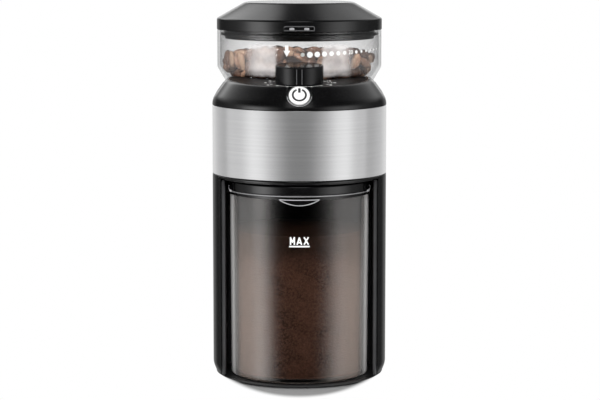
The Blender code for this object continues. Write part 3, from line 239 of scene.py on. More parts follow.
@lru_cache(maxsize=None)
def material_of(finish: Finish) -> bpy.types.Material:
    """The material of a finish, made once."""
    return Graph.of(bpy.data.materials.new(finish.name), "Material",
                    lambda graph: finish.surface(graph.node("ShaderNodeTexCoord", out="Object")))


class GlossPlastic(Finish):
    """Polished black moulding with hairline wiping marks and a little dust in its sheen."""

    def surface(self, where: Value) -> Value:
        """Fine crossing scratches lift the roughness, and slow waves bend reflections slightly."""
        wave = where.noise(22.0, 1.0)
        along = where.noise(1.0, 1.0, stretch=(90.0, 90.0, 2600.0)).step(0.60, 0.75)
        marks = along.most(where.noise(1.0, 1.0, stretch=(2400.0, 500.0, 120.0)).step(0.62, 0.78))
        dust = where.noise(5200.0, 0.0).step(0.74, 0.80)
        return self.shader(
            where, Base_Color=(dust * 0.35).blend(self.colour, (0.05, 0.05, 0.05)),
            Roughness=self.roughness + 0.05 * marks + 0.05 * (wave - 0.5) + 0.2 * dust,
            Normal=(wave + 0.02 * marks).bump(0.03, 0.6))


class CoverPlastic(GlossPlastic):
    """Polished moulding whose level deck has a matt spark finish."""

    def surface(self, where: Value) -> Value:
        """The polish on the leaning faces and the matt finish on those that face straight up."""
        up = where.graph.node("ShaderNodeNewGeometry", out="Normal").axis("Z")
        deck = self.shader(where, Roughness=0.45, Specular_IOR_Level=0.10, Normal=where.noise(1400.0).bump(0.02))
        return up.step(0.972, 0.992).mix(super().surface(where), deck)


class LidPlastic(GlossPlastic):
    """Polished moulding whose skirt, which no hand touches, is glossier still."""

    def surface(self, where: Value) -> Value:
        """The glossier polish below the rim and the common one above."""
        skirt = self.shader(where, Roughness=0.03, Specular_IOR_Level=1.0)
        return where.axis("Z").past(254.8, 255.0).mix(skirt, super().surface(where))


class BrushedSteel(Finish):
    """Stainless sheet with brush lines that run round the body."""

    def surface(self, where: Value) -> Value:
        """Two widths of line shade the colour, the gloss and the relief."""
        lines = (0.6 * where.noise(1.0, 3.0, 0.7, stretch=(7.0, 7.0, 2600.0))
                 + 0.4 * where.noise(1.0, stretch=(3.0, 3.0, 572.0)))
        print_marks = where.noise(40.0, 3.0).step(0.62, 0.75)
        return self.shader(
            where, Base_Color=lines.step(0.35, 0.65).blend(self.shade(0.965), self.shade(1.035)),
            Roughness=self.roughness + 0.10 * (lines - 0.5) + 0.02 * print_marks, Normal=lines.bump(0.015, 0.5))


@dataclass(frozen=True)
class ClearPlastic(Finish):
    """See-through moulding: tinted where light goes through, with a sheen that strengthens at the edges."""

    tint: Place = WHITE
    facing: float = 0.0
    edge: float = 0.5
    edge_power: float = 2.0
    smear: float = 0.0
    # glow and haze set how strongly the pale layer paints highlight and sheen.
    glow: float = 0.0
    haze: float = 0.0
    glow_colour: Place = (0.75, 0.74, 0.73)

    def film(self, where: Value, lean: Value) -> Value:
        """How much of the pale diffuse layer covers the surface: painted sheen where the wall is seen at a slant, and
        a painted highlight where it is seen edge on.
        """
        # Painted sheen at a slant and a painted highlight at the edges, both from a pale diffuse layer.
        return self.haze * lean.step(0.08, 0.5) + self.glow * lean.step(0.60, 0.76) * (1.0 - lean.step(0.88, 0.96))

    def milk(self, where: Value, lean: Value) -> object:
        """The pale layer's colour."""
        return self.glow_colour

    def surface(self, where: Value) -> Value:
        """A sheen mixed over a clear body by the angle of sight, and over both a pale diffuse layer that paints
        highlight and sheen, and in the jar also holds dust.
        """
        node = where.graph.node
        lean = node("ShaderNodeLayerWeight", {}, {"Blend": 0.5}, out="Facing")
        smear = where.noise(1.0, 4.0, stretch=(30.0, 30.0, 14.0)).step(0.45, 0.75)
        sheen = self.shader(where, Roughness=self.roughness + self.gloss_spread * smear,
                            Normal=where.noise(35.0, 1.0).bump(0.05, 0.5))
        share = (self.facing + self.smear * smear + self.edge * lean ** self.edge_power).least(0.8)
        clear = share.mix(node("ShaderNodeBsdfTransparent", {}, {"Color": self.tint}), sheen)
        sight = node("ShaderNodeNewGeometry", out="Incoming")
        level = sight.vector("MULTIPLY", (1.0, 1.0, 0.0)).vector("NORMALIZE")
        turned = 1.0 - level.vector("DOT_PRODUCT", sight.out("Normal"), "Value").size()
        milk = node("ShaderNodeBsdfPrincipled", {}, {
            "Base Color": self.milk(where, turned), "Roughness": 0.9, "Specular IOR Level": 0.0})
        return self.film(where, turned).mix(clear, milk)


@dataclass(frozen=True)
class JarPlastic(ClearPlastic):
    """Smoked plastic whose inside is dusted with coffee up to the fill line, with painted sheen where its sides are
    seen at a slant, heights in millimetres.
    """

    dust_top: float = 112.0
    dust_full: float = 72.0
    dust: float = 0.115
    dust_colour: Place = (0.80, 0.63, 0.54)

    def _dusty(self, where: Value) -> Value:
        """1 below the coffee's top and 0 above it, with a ragged edge."""
        ragged = where.axis("Z") + 5 * MM * (where.noise(60.0, 4.0) - 0.5)
        return 1.0 - ragged.past(self.dust_top - 7, self.dust_top + 9)

    def film(self, where: Value, lean: Value) -> Value:
        """Dust, thicker lower down and strongest where the wall is seen at a slant, so partly dust and partly painted
        sheen, over the bare wall's painted highlight and sheen.
        """
        speck = where.noise(800.0, 3.0).step(0.35, 0.65)
        # The slant mask puts the dust where the jar's sides catch light: partly dust, partly painted sheen.
        sheen_slant = lean.step(0.02, 0.30) * (1.0 - lean.step(0.6, 0.8))
        depth = 0.45 + 0.55 * (1.0 - where.axis("Z").past(self.dust_full, self.dust_top - 8))
        return super().film(where, lean) + self.dust * (0.7 + 0.6 * speck) * sheen_slant * depth * self._dusty(where)

    def milk(self, where: Value, lean: Value) -> object:
        """Brown where there is dust, but not where the wall's own edge shines."""
        return (self._dusty(where) * (1.0 - lean.step(0.45, 0.62))).blend(self.glow_colour, self.dust_colour)


@dataclass(frozen=True)
class HopperPlastic(ClearPlastic):
    """Clear plastic with a painted reflection: pale bands on its front below the height that the beans reach, lengths
    in millimetres.
    """

    film_top: float = 246.5
    film_low: float = 221.5
    film_inner: float = 17.0
    film_outer: float = 37.5
    film_foot: float = 0.9

    def film(self, where: Value, lean: Value) -> Value:
        """Painted reflection: two upright pale bands on the front, below the height that the beans reach."""
        cloud, top = where.noise(90.0, 3.0), self.film_top
        across = where.axis("X").size() + 4 * MM * (cloud - 0.5)
        high = where.axis("Z") + 3 * MM * (cloud - 0.5)
        inside = across.past(self.film_inner - 2, self.film_inner + 2)
        outside = across.past(self.film_outer - 7, self.film_outer + 4)
        deep = 1.0 + self.film_foot * (1.0 - high.past(top - 22, top - 12))
        # Painted reflection: the bands stand in for bright reflections on the hopper's front.
        glare_bands = self.glow * inside * (1.0 - outside) * deep * (0.65 + 0.6 * cloud.step(0.3, 0.7))
        front = (1.0 - where.axis("Y").past(-4, 4)) * (1.0 - high.past(top - 3, top + 1))
        return front * high.past(self.film_low, self.film_low + 3) * (self.haze + glare_bands).least(0.9)


class CastMetal(Finish):
    """Zinc or bronze: blotches of tarnish over a faintly pitted skin."""

    def surface(self, where: Value) -> Value:
        """Mottles the colour and the gloss, and pits the relief."""
        blotch = where.noise(120.0, 4.0)
        return self.shader(where, Base_Color=blotch.step(0.35, 0.7).blend(self.shade(0.7), self.colour),
                           Roughness=self.roughness + 0.2 * (blotch - 0.5), Normal=where.noise(1500.0).bump(0.03))


class TurnedSteel(Finish):
    """Hardened steel with turning rings and dark oil in its low spots."""

    def surface(self, where: Value) -> Value:
        """Close level rings and a darker film."""
        rings = where.noise(1.0, stretch=(20.0, 20.0, 3000.0))
        film = where.noise(160.0, 3.0).step(0.4, 0.7)
        return self.shader(where, Base_Color=film.blend(self.colour, self.shade(0.55)),
                           Roughness=self.roughness + 0.18 * (rings - 0.5) + 0.08 * film, Normal=rings.bump(0.02))


class CircuitBoard(Finish):
    """Green lacquer over copper tracks with tinned pads."""

    def surface(self, where: Value) -> Value:
        """Square cells make tracks, and small cells make pads."""
        node = where.graph.node
        tracks = node("ShaderNodeTexVoronoi", {"feature": "DISTANCE_TO_EDGE", "distance": "EUCLIDEAN"},
                      {"Vector": where, "Scale": 260.0, "Randomness": 0.25}).step(0.10, 0.05)
        pads = node("ShaderNodeTexVoronoi", {"feature": "F1"},
                    {"Vector": where, "Scale": 330.0, "Randomness": 0.4}).step(0.22, 0.16)
        return self.shader(
            where, Base_Color=pads.blend(tracks.blend(self.colour, (0.06, 0.32, 0.13)), (0.6, 0.6, 0.58)),
            Metallic=pads, Roughness=self.roughness - 0.12 * pads, Normal=tracks.most(pads).bump(0.04))


class Windings(Finish):
    """Lacquered copper wire wound in level turns under yellow tape."""

    def surface(self, where: Value) -> Value:
        """Bands of wire with darker lines between the turns."""
        turns = where.graph.node("ShaderNodeTexWave", {"wave_type": "BANDS", "bands_direction": "Z"},
                                 {"Vector": where, "Scale": 240.0, "Distortion": 0.4, "Detail": 1.0}, out="Fac")
        tape = where.noise(60.0).step(0.45, 0.55)
        return self.shader(
            where, Base_Color=tape.blend(turns.blend((0.28, 0.10, 0.03), (0.62, 0.27, 0.10)), self.colour),
            Roughness=self.roughness + 0.15 * tape, Normal=turns.bump(0.1))


class RoastedBean(Finish):
    """Roasted coffee: a tone of its own for each bean, oily patches and a wrinkled skin."""

    def surface(self, where: Value) -> Value:
        """Reads the tone that each bean carries, then mottles and wrinkles it."""
        tone, crease = (where.graph.node("ShaderNodeAttribute", {"attribute_name": name}, out="Fac")
                        for name in ("tone", "crease"))
        mottle, oil = where.noise(420.0, 4.0), where.noise(150.0).step(0.48, 0.62)
        base = (tone * tone).blend(self.colour, (0.54, 0.32, 0.21))
        spotted = (mottle.step(0.35, 0.7) * 0.6).blend(base, (0.10, 0.045, 0.022))
        return self.shader(where, Base_Color=(crease * 0.8).blend(spotted, (0.66, 0.46, 0.32)),
                           Roughness=self.roughness - 0.22 * oil + 0.1 * mottle, Normal=mottle.bump(0.25))


class GroundCoffee(Finish):
    """Fresh grounds: coarse crumbs of three browns, with painted shade near the top, where the lid shades them."""

    def surface(self, where: Value) -> Value:
        """Crumbs from small cells, with paler chaff scattered among them."""
        crumb = where.graph.node("ShaderNodeTexVoronoi", {"feature": "F1"}, {"Vector": where, "Scale": 620.0})
        shade, heap = where.noise(640.0, 5.0, 0.7), where.noise(60.0, 4.0)
        chaff = where.noise(1300.0, 1.0).step(0.66, 0.74)
        base = shade.step(0.38, 0.62).blend(self.shade(0.36), self.colour)
        clumped = (heap.step(0.35, 0.65) * 0.35).blend(base, self.shade(1.5))
        mixed = (chaff * 0.7).blend(clumped, (0.55, 0.36, 0.24))
        # Painted shade: the colour darkens towards the top of the grounds.
        return self.shader(where, Base_Color=(where.axis("Z").past(84, 102) * 0.72).blend(mixed, self.shade(0.1)),
                           Roughness=self.roughness + 0.05 * (shade - 0.5), Normal=(crumb + 0.4 * shade).bump(0.35))


JET = (0.0015, 0.0015, 0.0017)
HOUSING_BLACK = GlossPlastic("housing_black", JET, 0.13, Slot.BLACK_GLOSS)
COVER_BLACK = CoverPlastic("cover_black", JET, 0.16, Slot.BLACK_GLOSS)
LID_BLACK = LidPlastic("lid_black", JET, 0.17, Slot.BLACK_GLOSS)
SATIN_BLACK = Finish("satin_black", (0.004, 0.004, 0.0043), 0.36, Slot.BLACK_SATIN, grain=1600.0)
# The liner's charcoal is lighter than the other blacks partly as painted highlight, so that its front edges show
# against the shell.
LINER_BLACK = Finish("liner_black", (0.045, 0.045, 0.047), 0.40, Slot.BLACK_SATIN, grain=1600.0)
KNOB_BLACK = Finish("knob_black", (0.0025, 0.0025, 0.0028), 0.24, Slot.BLACK_SATIN, grain=1600.0, sheen=0.28)
BASE_BLACK = Finish("base_black", (0.007, 0.007, 0.0075), 0.42, Slot.BLACK_SATIN, grain=1100.0, grain_depth=0.03)
# Painted highlights: these light greys colour thin lines and spots on black edges where light would catch them; they
# are not real trims.
HIGHLIGHT_GREY = Finish("trim_grey", (0.075, 0.075, 0.078), 0.30, Slot.STEEL, cloud=0.1)
HIGHLIGHT_SILVER = Finish("trim_silver", (0.22, 0.22, 0.225), 0.28, Slot.STEEL, cloud=0.1)
HIGHLIGHT_PALE = Finish("trim_light", (0.36, 0.36, 0.37), 0.25, Slot.STEEL, cloud=0.1)
HIGHLIGHT_BRIGHT = Finish("trim_bright", (0.70, 0.70, 0.71), 0.25, Slot.STEEL, cloud=0.05)
BAND_STEEL = BrushedSteel("band_steel", (0.57, 0.57, 0.575), 0.24, Slot.STEEL, metallic=1.0)
# On the hopper, glow and haze set the painted reflection bands on its front.
HOPPER_CLEAR = HopperPlastic(
    "hopper_clear", (0.93, 0.94, 0.95), 0.06, Slot.CLEAR, metallic=1.0, gloss_spread=0.05, facing=0.004,
    tint=(0.915, 0.915, 0.915), edge_power=2.6, smear=0.008, glow=0.36, haze=0.05, glow_colour=(0.92, 0.88, 0.87))
# On the jar, glow paints highlights on its edges and haze its sides; the dust is real and also placed as painted
# sheen.
JAR_SMOKED = JarPlastic(
    "jar_smoked", (0.88, 0.87, 0.86), 0.22, Slot.SMOKED, metallic=1.0, gloss_spread=0.05, facing=0.006,
    tint=(0.62, 0.60, 0.59), edge=0.85, edge_power=1.65, smear=0.004, glow=0.85, haze=0.075)
BUTTON_WHITE = Finish("button_white", (0.70, 0.70, 0.695), 0.26, Slot.WHITE, cloud=0.01)
PRINT_WHITE = Finish("print_white", (0.90, 0.90, 0.89), 0.45, Slot.WHITE, cloud=0.02)
PRINT_WORN = Finish("print_worn", (0.50, 0.51, 0.49), 0.5, Slot.WHITE, cloud=0.2)
PRINT_BLACK = Finish("print_black", (0.012, 0.012, 0.013), 0.35, Slot.BLACK_SATIN)
FOOT_RUBBER = Finish("foot_rubber", (0.014, 0.014, 0.014), 0.75, Slot.RUBBER, grain=700.0, grain_depth=0.06)
LID_SEAL = Finish("lid_seal_silicone", (0.003, 0.003, 0.003), 0.10, Slot.SEAL, gloss_spread=0.02, sheen=0.8)
NYLON = Finish("gear_nylon", (0.72, 0.70, 0.63), 0.42, Slot.NYLON, cloud=0.08, grain=500.0)
BURR_STEEL = TurnedSteel("burr_steel_turned", (0.42, 0.42, 0.43), 0.3, Slot.BURR_STEEL, metallic=1.0)
ZINC = CastMetal("zinc_cast", (0.55, 0.56, 0.58), 0.34, Slot.ZINC, metallic=1.0)
BRONZE = CastMetal("bearing_bronze", (0.55, 0.38, 0.20), 0.38, Slot.BRONZE, metallic=1.0)
BOARD = CircuitBoard("board_green", (0.02, 0.15, 0.06), 0.42, Slot.BOARD)
COIL = Windings("coil_windings", (0.70, 0.56, 0.12), 0.45, Slot.COIL)
BEAN = RoastedBean("roasted_bean", (0.095, 0.042, 0.027), 0.32)
# Painted shade: the very dark fill seen in the gaps between the beans.
BEAN_PAINTED_SHADE = Finish("bean_shadow", (0.025, 0.012, 0.008), 0.7, cloud=0.5, grain=250.0, grain_depth=1.0)
GROUNDS = GroundCoffee("ground_coffee", (0.34, 0.175, 0.115), 0.55)


# ---------------------------------------------------------------- outlines and solids


def filleted(corners: list[Place], closed: bool = True, steps: int = 6) -> list[Point]:
    """Rounds the corners of a polyline.

    Args:
        corners: (x, y, radius) of each corner, in order.
        closed: whether the last corner joins the first.
        steps: the number of chords in each rounded corner.

    Returns:
        The points of the rounded line.
    """
    points: list[Point] = []
    for k, (x, y, radius) in enumerate(corners):
        here = Vector((x, y))
        if radius <= 0 or (not closed and k in (0, len(corners) - 1)):
            points.append((x, y))
            continue
        before = Vector(corners[k - 1][:2]) - here
        after = Vector(corners[(k + 1) % len(corners)][:2]) - here
        half = before.angle(after) / 2
        reach = min(radius / tan(half), 0.49 * before.length, 0.49 * after.length)
        before.normalize()
        after.normalize()
        centre = here + (before + after).normalized() * (reach / cos(half))
        start, end = here + before * reach - centre, here + after * reach - centre
        sweep = start.angle(end)
        for share in (step / steps for step in range(steps + 1)):
            spoke = (start * sin((1 - share) * sweep) + end * sin(share * sweep)) / sin(sweep)
            points.append(tuple(centre + spoke))
    return points


def rounded_box(x0: float, y0: float, x1: float, y1: float, *radii: float, steps: int = 6) -> list[Point]:
    """A rectangle with rounded corners: one radius for all, or one for each from (x0, y0) by way of (x1, y0)."""
    radii = radii * 4 if len(radii) == 1 else radii
    return filleted([(*spot, r) for spot, r in zip(((x0, y0), (x1, y0), (x1, y1), (x0, y1)), radii)], steps=steps)


def arc(centre: Point, radius: float, start: float, end: float, steps: int) -> list[Point]:
    """Points along an arc, both ends included, angles in radians from +X."""
    angles = [start + (end - start) * k / steps for k in range(steps + 1)]
    return [(centre[0] + radius * cos(a), centre[1] + radius * sin(a)) for a in angles]


def round_plan(steps: int, centre: Point = (0.0, 0.0)) -> Plan:
    """A plan that is a circle of the radius asked for."""
    return lambda radius: arc(centre, radius, 0, 2 * pi, steps)[:-1]


def at(x: float, y: float, z: float, tilt: float = 0.0) -> Matrix:
    """The matrix that carries a solid to a place, tilted about X."""
    return Matrix.Translation((x * MM, y * MM, z * MM)) @ Matrix.Rotation(tilt, 4, "X")


def shown(name: str, data: object) -> bpy.types.Object:
    """A new object in the scene."""
    thing = bpy.data.objects.new(name, data)
    bpy.context.scene.collection.objects.link(thing)
    return thing


def settled(*things: bpy.types.Object) -> bpy.types.Mesh:
    """The first object's mesh with its modifiers applied. All the objects go."""
    bpy.context.view_layer.update()
    mesh = bpy.data.meshes.new_from_object(things[0].evaluated_get(bpy.context.evaluated_depsgraph_get()))
    for thing in things:
        bpy.data.objects.remove(thing)
    return mesh


@contextmanager
def edited(mesh: bpy.types.Mesh, empty: bool = False) -> Iterator[bmesh.types.BMesh]:
    """A mesh open for editing, emptied first where asked."""
    shape = bmesh.new()
    if not empty:
        shape.from_mesh(mesh)
    yield shape
    shape.to_mesh(mesh)
    shape.free()


class Solid:
    """A closed mesh in the making. Its sizes are given in millimetres."""

    def __init__(self, mesh: bpy.types.Mesh | None = None) -> None:
        """Takes over a mesh, or starts an empty one."""
        self.mesh = mesh or bpy.data.meshes.new("solid")

    @classmethod
    def rings(cls, rings: list[list[Place]], cyclic: bool) -> "Solid":
        """A skin through rings of equal count, which closes on itself or is capped at both ends."""
        solid = cls()
        with edited(solid.mesh, empty=True) as shape:
            loops = [[shape.verts.new((x * MM, y * MM, z * MM)) for x, y, z in ring] for ring in rings]
            for lower, upper in zip(loops, loops[1:] + loops[:1] * cyclic):
                for k in range(len(lower)):
                    after = (k + 1) % len(lower)
                    shape.faces.new((lower[k], lower[after], upper[after], upper[k]))
            if not cyclic:
                shape.faces.new(loops[0][::-1])
                shape.faces.new(loops[-1])
        return solid.sound(0.0005)

    @classmethod
    def wrapped(cls, profile: list[Point], plan: Plan, cyclic: bool = True) -> "Solid":
        """Carries a profile of (size, height) pairs round a plan, and caps an open one."""
        return cls.rings([[(x, y, height) for x, y in plan(size)] for size, height in profile], cyclic)

    @classmethod
    def turned(cls, corners: list[Place], plan: Plan, closed: bool = True, steps: int = 6) -> "Solid":
        """Carries a profile of (size, height, corner radius) round a plan."""
        return cls.wrapped(filleted(corners, closed, steps), plan, closed)

    @classmethod
    def rod(cls, radius: float, low: float, high: float, steps: int) -> "Solid":
        """An upright round bar on the Z axis."""
        return cls.wrapped([(radius, low), (radius, high)], round_plan(steps), cyclic=False)

    @classmethod
    def prism(cls, outline: list[Point], low: float, high: float) -> "Solid":
        """A flat outline raised from one height to another."""
        return cls.rings([[(x, y, z) for x, y in outline] for z in (low, high)], False)

    @classmethod
    def block(cls, low: Place, high: Place) -> "Solid":
        """A box between two corners."""
        (x0, y0, z0), (x1, y1, z1) = low, high
        return cls.prism([(x0, y0), (x1, y0), (x1, y1), (x0, y1)], z0, z1)

    def sound(self, weld: float) -> "Solid":
        """With points that coincide welded and its faces turned outwards."""
        with edited(self.mesh) as shape:
            bmesh.ops.remove_doubles(shape, verts=shape.verts, dist=weld * MM)
            bmesh.ops.recalc_face_normals(shape, faces=shape.faces)
        return self

    def _combine(self, operation: str, others: tuple["Solid", ...]) -> "Solid":
        """Boolean steps with each other solid in turn."""
        for other in others:
            thing, helper = shown("passing", self.mesh), shown("passing", other.mesh)
            step = thing.modifiers.new("combine", "BOOLEAN")
            step.operation, step.object, step.solver = operation, helper, "EXACT"
            self.mesh = settled(thing, helper)
        return self

    def cut(self, *others: "Solid") -> "Solid":
        """Less the other solids."""
        return self._combine("DIFFERENCE", others)

    def join(self, *others: "Solid") -> "Solid":
        """With the other solids made one with it."""
        return self._combine("UNION", others)

    def welded(self) -> "Solid":
        """With points that nearly coincide made one, and slivers taken out."""
        with edited(self.mesh) as shape:
            bmesh.ops.remove_doubles(shape, verts=shape.verts, dist=0.02 * MM)
            bmesh.ops.dissolve_degenerate(shape, edges=shape.edges, dist=0.005 * MM)
        return self

    def eased(self, width: float, angle: float = 50.0) -> "Solid":
        """With its sharp edges rounded over."""
        thing = shown("passing", self.mesh)
        bevel = thing.modifiers.new("ease", "BEVEL")
        bevel.width, bevel.segments = width * MM, 3
        bevel.limit_method, bevel.angle_limit = "ANGLE", radians(angle)
        bevel.use_clamp_overlap, bevel.harden_normals = True, False
        self.mesh = settled(thing)
        return self

    def moved(self, change: Matrix | Callable[[Vector], Vector]) -> "Solid":
        """With every point put through a matrix, or through a rule in millimetres."""
        if isinstance(change, Matrix):
            self.mesh.transform(change)
        else:
            for vertex in self.mesh.vertices:
                vertex.co = change(vertex.co / MM) * MM
        return self

    def with_(self, *others: "Solid") -> "Solid":
        """With the other solids kept beside it in one mesh."""
        with edited(self.mesh) as shape:
            for solid in others:
                shape.from_mesh(solid.mesh)
        return self

    def piece(self, name: str, finish: Finish, angle: float = 38.0) -> bpy.types.Object:
        """The finished object, at the origin, smooth but for edges sharper than the angle, and in its finish."""
        self.mesh.name = name
        self.mesh.shade_smooth()
        self.mesh.set_sharp_from_angle(angle=radians(angle))
        self.mesh.materials.clear()
        self.mesh.materials.append(material_of(finish))
        return shown(name, self.mesh)


def lettering(words: str, height: float, weight: float = 0.0) -> Solid:
    """Words as a thin solid in the XY plane, centred, with capitals of the height given."""
    curve = bpy.data.curves.new("lettering", "FONT")
    curve.body, curve.size, curve.offset, curve.extrude = words, height * MM / 0.7, weight * MM, 0.02 * MM
    curve.align_x, curve.align_y, curve.resolution_u = "CENTER", "CENTER", 4
    return Solid(settled(shown("lettering", curve))).sound(0.001)


def ribbon(
    points: list[Place], outs: list[Vector] | Vector, width: float, proud: float, closed: bool = False
) -> Solid:
    """A flat bead with soft edges along a line on a surface.

    Args:
        points: the line.
        outs: the surface's outward direction at each point, or one for all.
        width: the bead's width across the line.
        proud: how far it stands out.
        closed: whether the line closes on itself.

    Returns:
        The bead.
    """
    section = rounded_box(-width / 2, -proud, width / 2, proud, 0, 0, proud * 0.8, proud * 0.8, steps=3)
    spots, count, rings = [Vector(point) for point in points], len(points), []
    for k, spot in enumerate(spots):
        before = spots[k - 1] if closed or k else spot
        after = spots[(k + 1) % count] if closed or k < count - 1 else spot
        out = (outs[k] if isinstance(outs, list) else outs).normalized()
        side = (after - before).cross(out).normalized()
        rings.append([tuple(spot + side * across + out * lift) for across, lift in section])
    return Solid.rings(rings, closed)


def onto_cylinder(centre: Point, radius: float, angle: float, height: float) -> Callable[[Vector], Vector]:
    """A rule that wraps a flat print, X along and Y up, on to an upright cylinder's front."""

    def wrap(point: Vector) -> Vector:
        """One point of the print."""
        turn, out = angle + point.x / radius, radius + point.z
        return Vector((centre[0] + out * sin(turn), centre[1] - out * cos(turn), height + point.y))

    return wrap


# ---------------------------------------------------------------- repeated things


@dataclass
class Repeat:
    """Geometry Nodes that set out copies of one small mesh. The fields after the name are the tree's inputs."""

    name: str

    def spread(self, surface: Value, unit: Value, *inputs: Value) -> Value:
        """The copies, as instances of the unit."""
        raise NotImplementedError

    @staticmethod
    def copies(points: Value, unit: Value, **more: Value) -> Value:
        """An instance of the unit at each point."""
        return points.graph.node("GeometryNodeInstanceOnPoints", {}, {"Points": points, "Instance": unit, **more})

    def make(self, unit: bpy.types.Mesh, finish: Finish, surface: bpy.types.Mesh | None = None) -> Solid:
        """Runs the tree.

        Args:
            unit: the mesh that is copied.
            finish: what the copies are made of.
            surface: the mesh that they are spread over, where they need one.

        Returns:
            The copies as one plain mesh.
        """
        tree = bpy.data.node_groups.new(self.name, "GeometryNodeTree")
        graph = Graph(tree)
        for way in ("OUTPUT", "INPUT"):
            tree.interface.new_socket("Geometry", in_out=way, socket_type="NodeSocketGeometry")
        copied, thing = shown(self.name + "_unit", unit), shown("repeat", surface or bpy.data.meshes.new("start"))
        modifier = thing.modifiers.new("repeat", "NODES")
        values = {}
        for field_name, value in list(vars(self).items())[1:]:
            kind = "NodeSocketInt" if isinstance(value, int) else "NodeSocketFloat"
            label = field_name.replace("_", " ").capitalize()
            values[tree.interface.new_socket(label, in_out="INPUT", socket_type=kind).identifier] = value
        start, *inputs = [Value(graph, socket) for socket in tree.nodes.new("NodeGroupInput").outputs[:-1]]
        each = graph.node("GeometryNodeObjectInfo", {"transform_space": "ORIGINAL"},
                          {"Object": copied, "As Instance": False}, out="Geometry")
        real = graph.node("GeometryNodeRealizeInstances", {}, {0: self.spread(start, each, *inputs)})
        done = graph.node("GeometryNodeSetMaterial", {}, {"Geometry": real, "Material": material_of(finish)})
        graph.node("NodeGroupOutput", {}, {0: done})
        modifier.node_group = tree
        for key, value in values.items():
            modifier[key] = value
        return Solid(settled(thing, copied))


@dataclass
class RingOfCopies(Repeat):
    """Upright copies on an arc about Z, angles from -Y towards +X, growing and rising by fixed steps, in metres."""

    count: int
    radius: float
    first_angle: float
    step_angle: float
    first_size: float = 1.0
    size_step: float = 0.0
    rise: float = 0.0

    def spread(self, surface: Value, unit: Value, *inputs: Value) -> Value:
        """Each copy's face looks outwards and its top looks up."""
        node, (count, radius, first, step, size, growth, rise) = surface.graph.node, inputs
        index = node("GeometryNodeInputIndex")
        angle = first + step * index
        spot = node("ShaderNodeCombineXYZ", {}, {
            0: radius * angle.sine(), 1: 0.0 - radius * angle.cosine(), 2: rise * index})
        line = node("GeometryNodeMeshLine", {"mode": "OFFSET"}, {"Count": count})
        placed = node("GeometryNodeSetPosition", {}, {"Geometry": line, "Position": spot})
        facing = node("ShaderNodeCombineXYZ", {}, {0: pi / 2, 1: 0.0, 2: angle})
        return self.copies(placed, unit, Rotation=facing, Scale=size + growth * index)


@dataclass
class GridOfCopies(Repeat):
    """Copies at the crossings of a level grid about the origin, in metres."""

    across: int
    along: int
    width: float
    length: float

    def spread(self, surface: Value, unit: Value, *inputs: Value) -> Value:
        """One copy at each crossing."""
        sockets = dict(zip(("Vertices X", "Vertices Y", "Size X", "Size Y"), inputs))
        return self.copies(surface.graph.node("GeometryNodeMeshGrid", {}, sockets), unit)


@dataclass
class Scatter(Repeat):
    """Copies tumbled over a surface, never closer than the spacing in metres, each with a tone of its own."""

    spacing: float
    seed: int
    small: float = 0.88
    large: float = 1.12
    pitch: float = 0.45

    def spread(self, surface: Value, unit: Value, *inputs: Value) -> Value:
        """Turns each copy at random about the surface's normal and, less far, across it."""
        node, (spacing, seed, small, large, pitch) = surface.graph.node, inputs
        points = node("GeometryNodeDistributePointsOnFaces", {"distribute_method": "POISSON"}, {
            "Mesh": surface, "Distance Min": spacing, "Density Max": 90000.0, "Seed": seed})
        back, ahead = (node("ShaderNodeCombineXYZ", {}, {0: way * pi, 1: way * pitch, 2: way * pi}) for way in (-1, 1))
        spin = node("FunctionNodeRandomValue", {"data_type": "FLOAT_VECTOR"}, {0: back, 1: ahead, "Seed": seed})
        facing = node("FunctionNodeRotateRotation", {"rotation_space": "LOCAL"}, {0: points.out("Rotation"), 1: spin})
        draws = ({2: small, 3: large, "Seed": seed + 1.0}, {2: 0.0, 3: 1.0, "Seed": seed + 2.0})
        size, tone = (node("FunctionNodeRandomValue", {"data_type": "FLOAT"}, ends, out=1) for ends in draws)
        placed = self.copies(points, unit, Rotation=facing, Scale=size)
        return node("GeometryNodeStoreNamedAttribute", {"data_type": "FLOAT", "domain": "INSTANCE"}, {
            "Geometry": placed, "Name": "tone", "Value": tone})


# ---------------------------------------------------------------- the body's common sizes


@dataclass(frozen=True)
class Body:
    """Sizes that several sub-assemblies share."""

    radius: float = 64.3
    front_y: float = -24.0
    axis_y: float = 20.0
    bay_half: float = 54.2
    shell_bottom: float = 3.3
    shell_top: float = 151.3
    cover_bottom: float = 201.9
    knob_y: float = -60.0
    deck_z: float = 219.4
    deck_tilt: float = radians(3.5)

    def plan(self, radius: float) -> list[Point]:
        """The stadium of a radius about the two arc centres."""
        side = [(radius, self.front_y + (self.axis_y - self.front_y) * k / 4) for k in range(1, 4)]
        return [*arc((0, self.front_y), radius, pi, 2 * pi, 56), *side,
                *arc((0, self.axis_y), radius, 0, pi, 56), *((-x, y) for x, y in reversed(side))]

    def deck_height(self, y: float) -> float:
        """The height of the sloping deck at a distance along Y."""
        return self.deck_z + (y - self.knob_y) * tan(self.deck_tilt)

    @property
    def on_knob(self) -> Matrix:
        """From the knob's own frame, its foot at the origin."""
        return at(0, self.knob_y, self.deck_z, self.deck_tilt)


BODY = Body()


class Assembly:
    """A group of pieces that is built and put on its bodies."""

    def build(self) -> None:
        """Makes the pieces."""
        raise NotImplementedError

    def put(self, solid: Solid, name: str, finish: Finish, body: str, *nodes: str, angle: float = 38.0) -> None:
        """Finishes a solid as a piece that rides on a body and, where named, stands for CAD nodes."""
        thing = solid.piece(name, finish, angle)
        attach(thing, body)
        if nodes:
            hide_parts(*nodes)
        log.info("%s: %s on %s, %d faces", type(self).__name__, name, body, len(thing.data.polygons))


# ---------------------------------------------------------------- base and housing


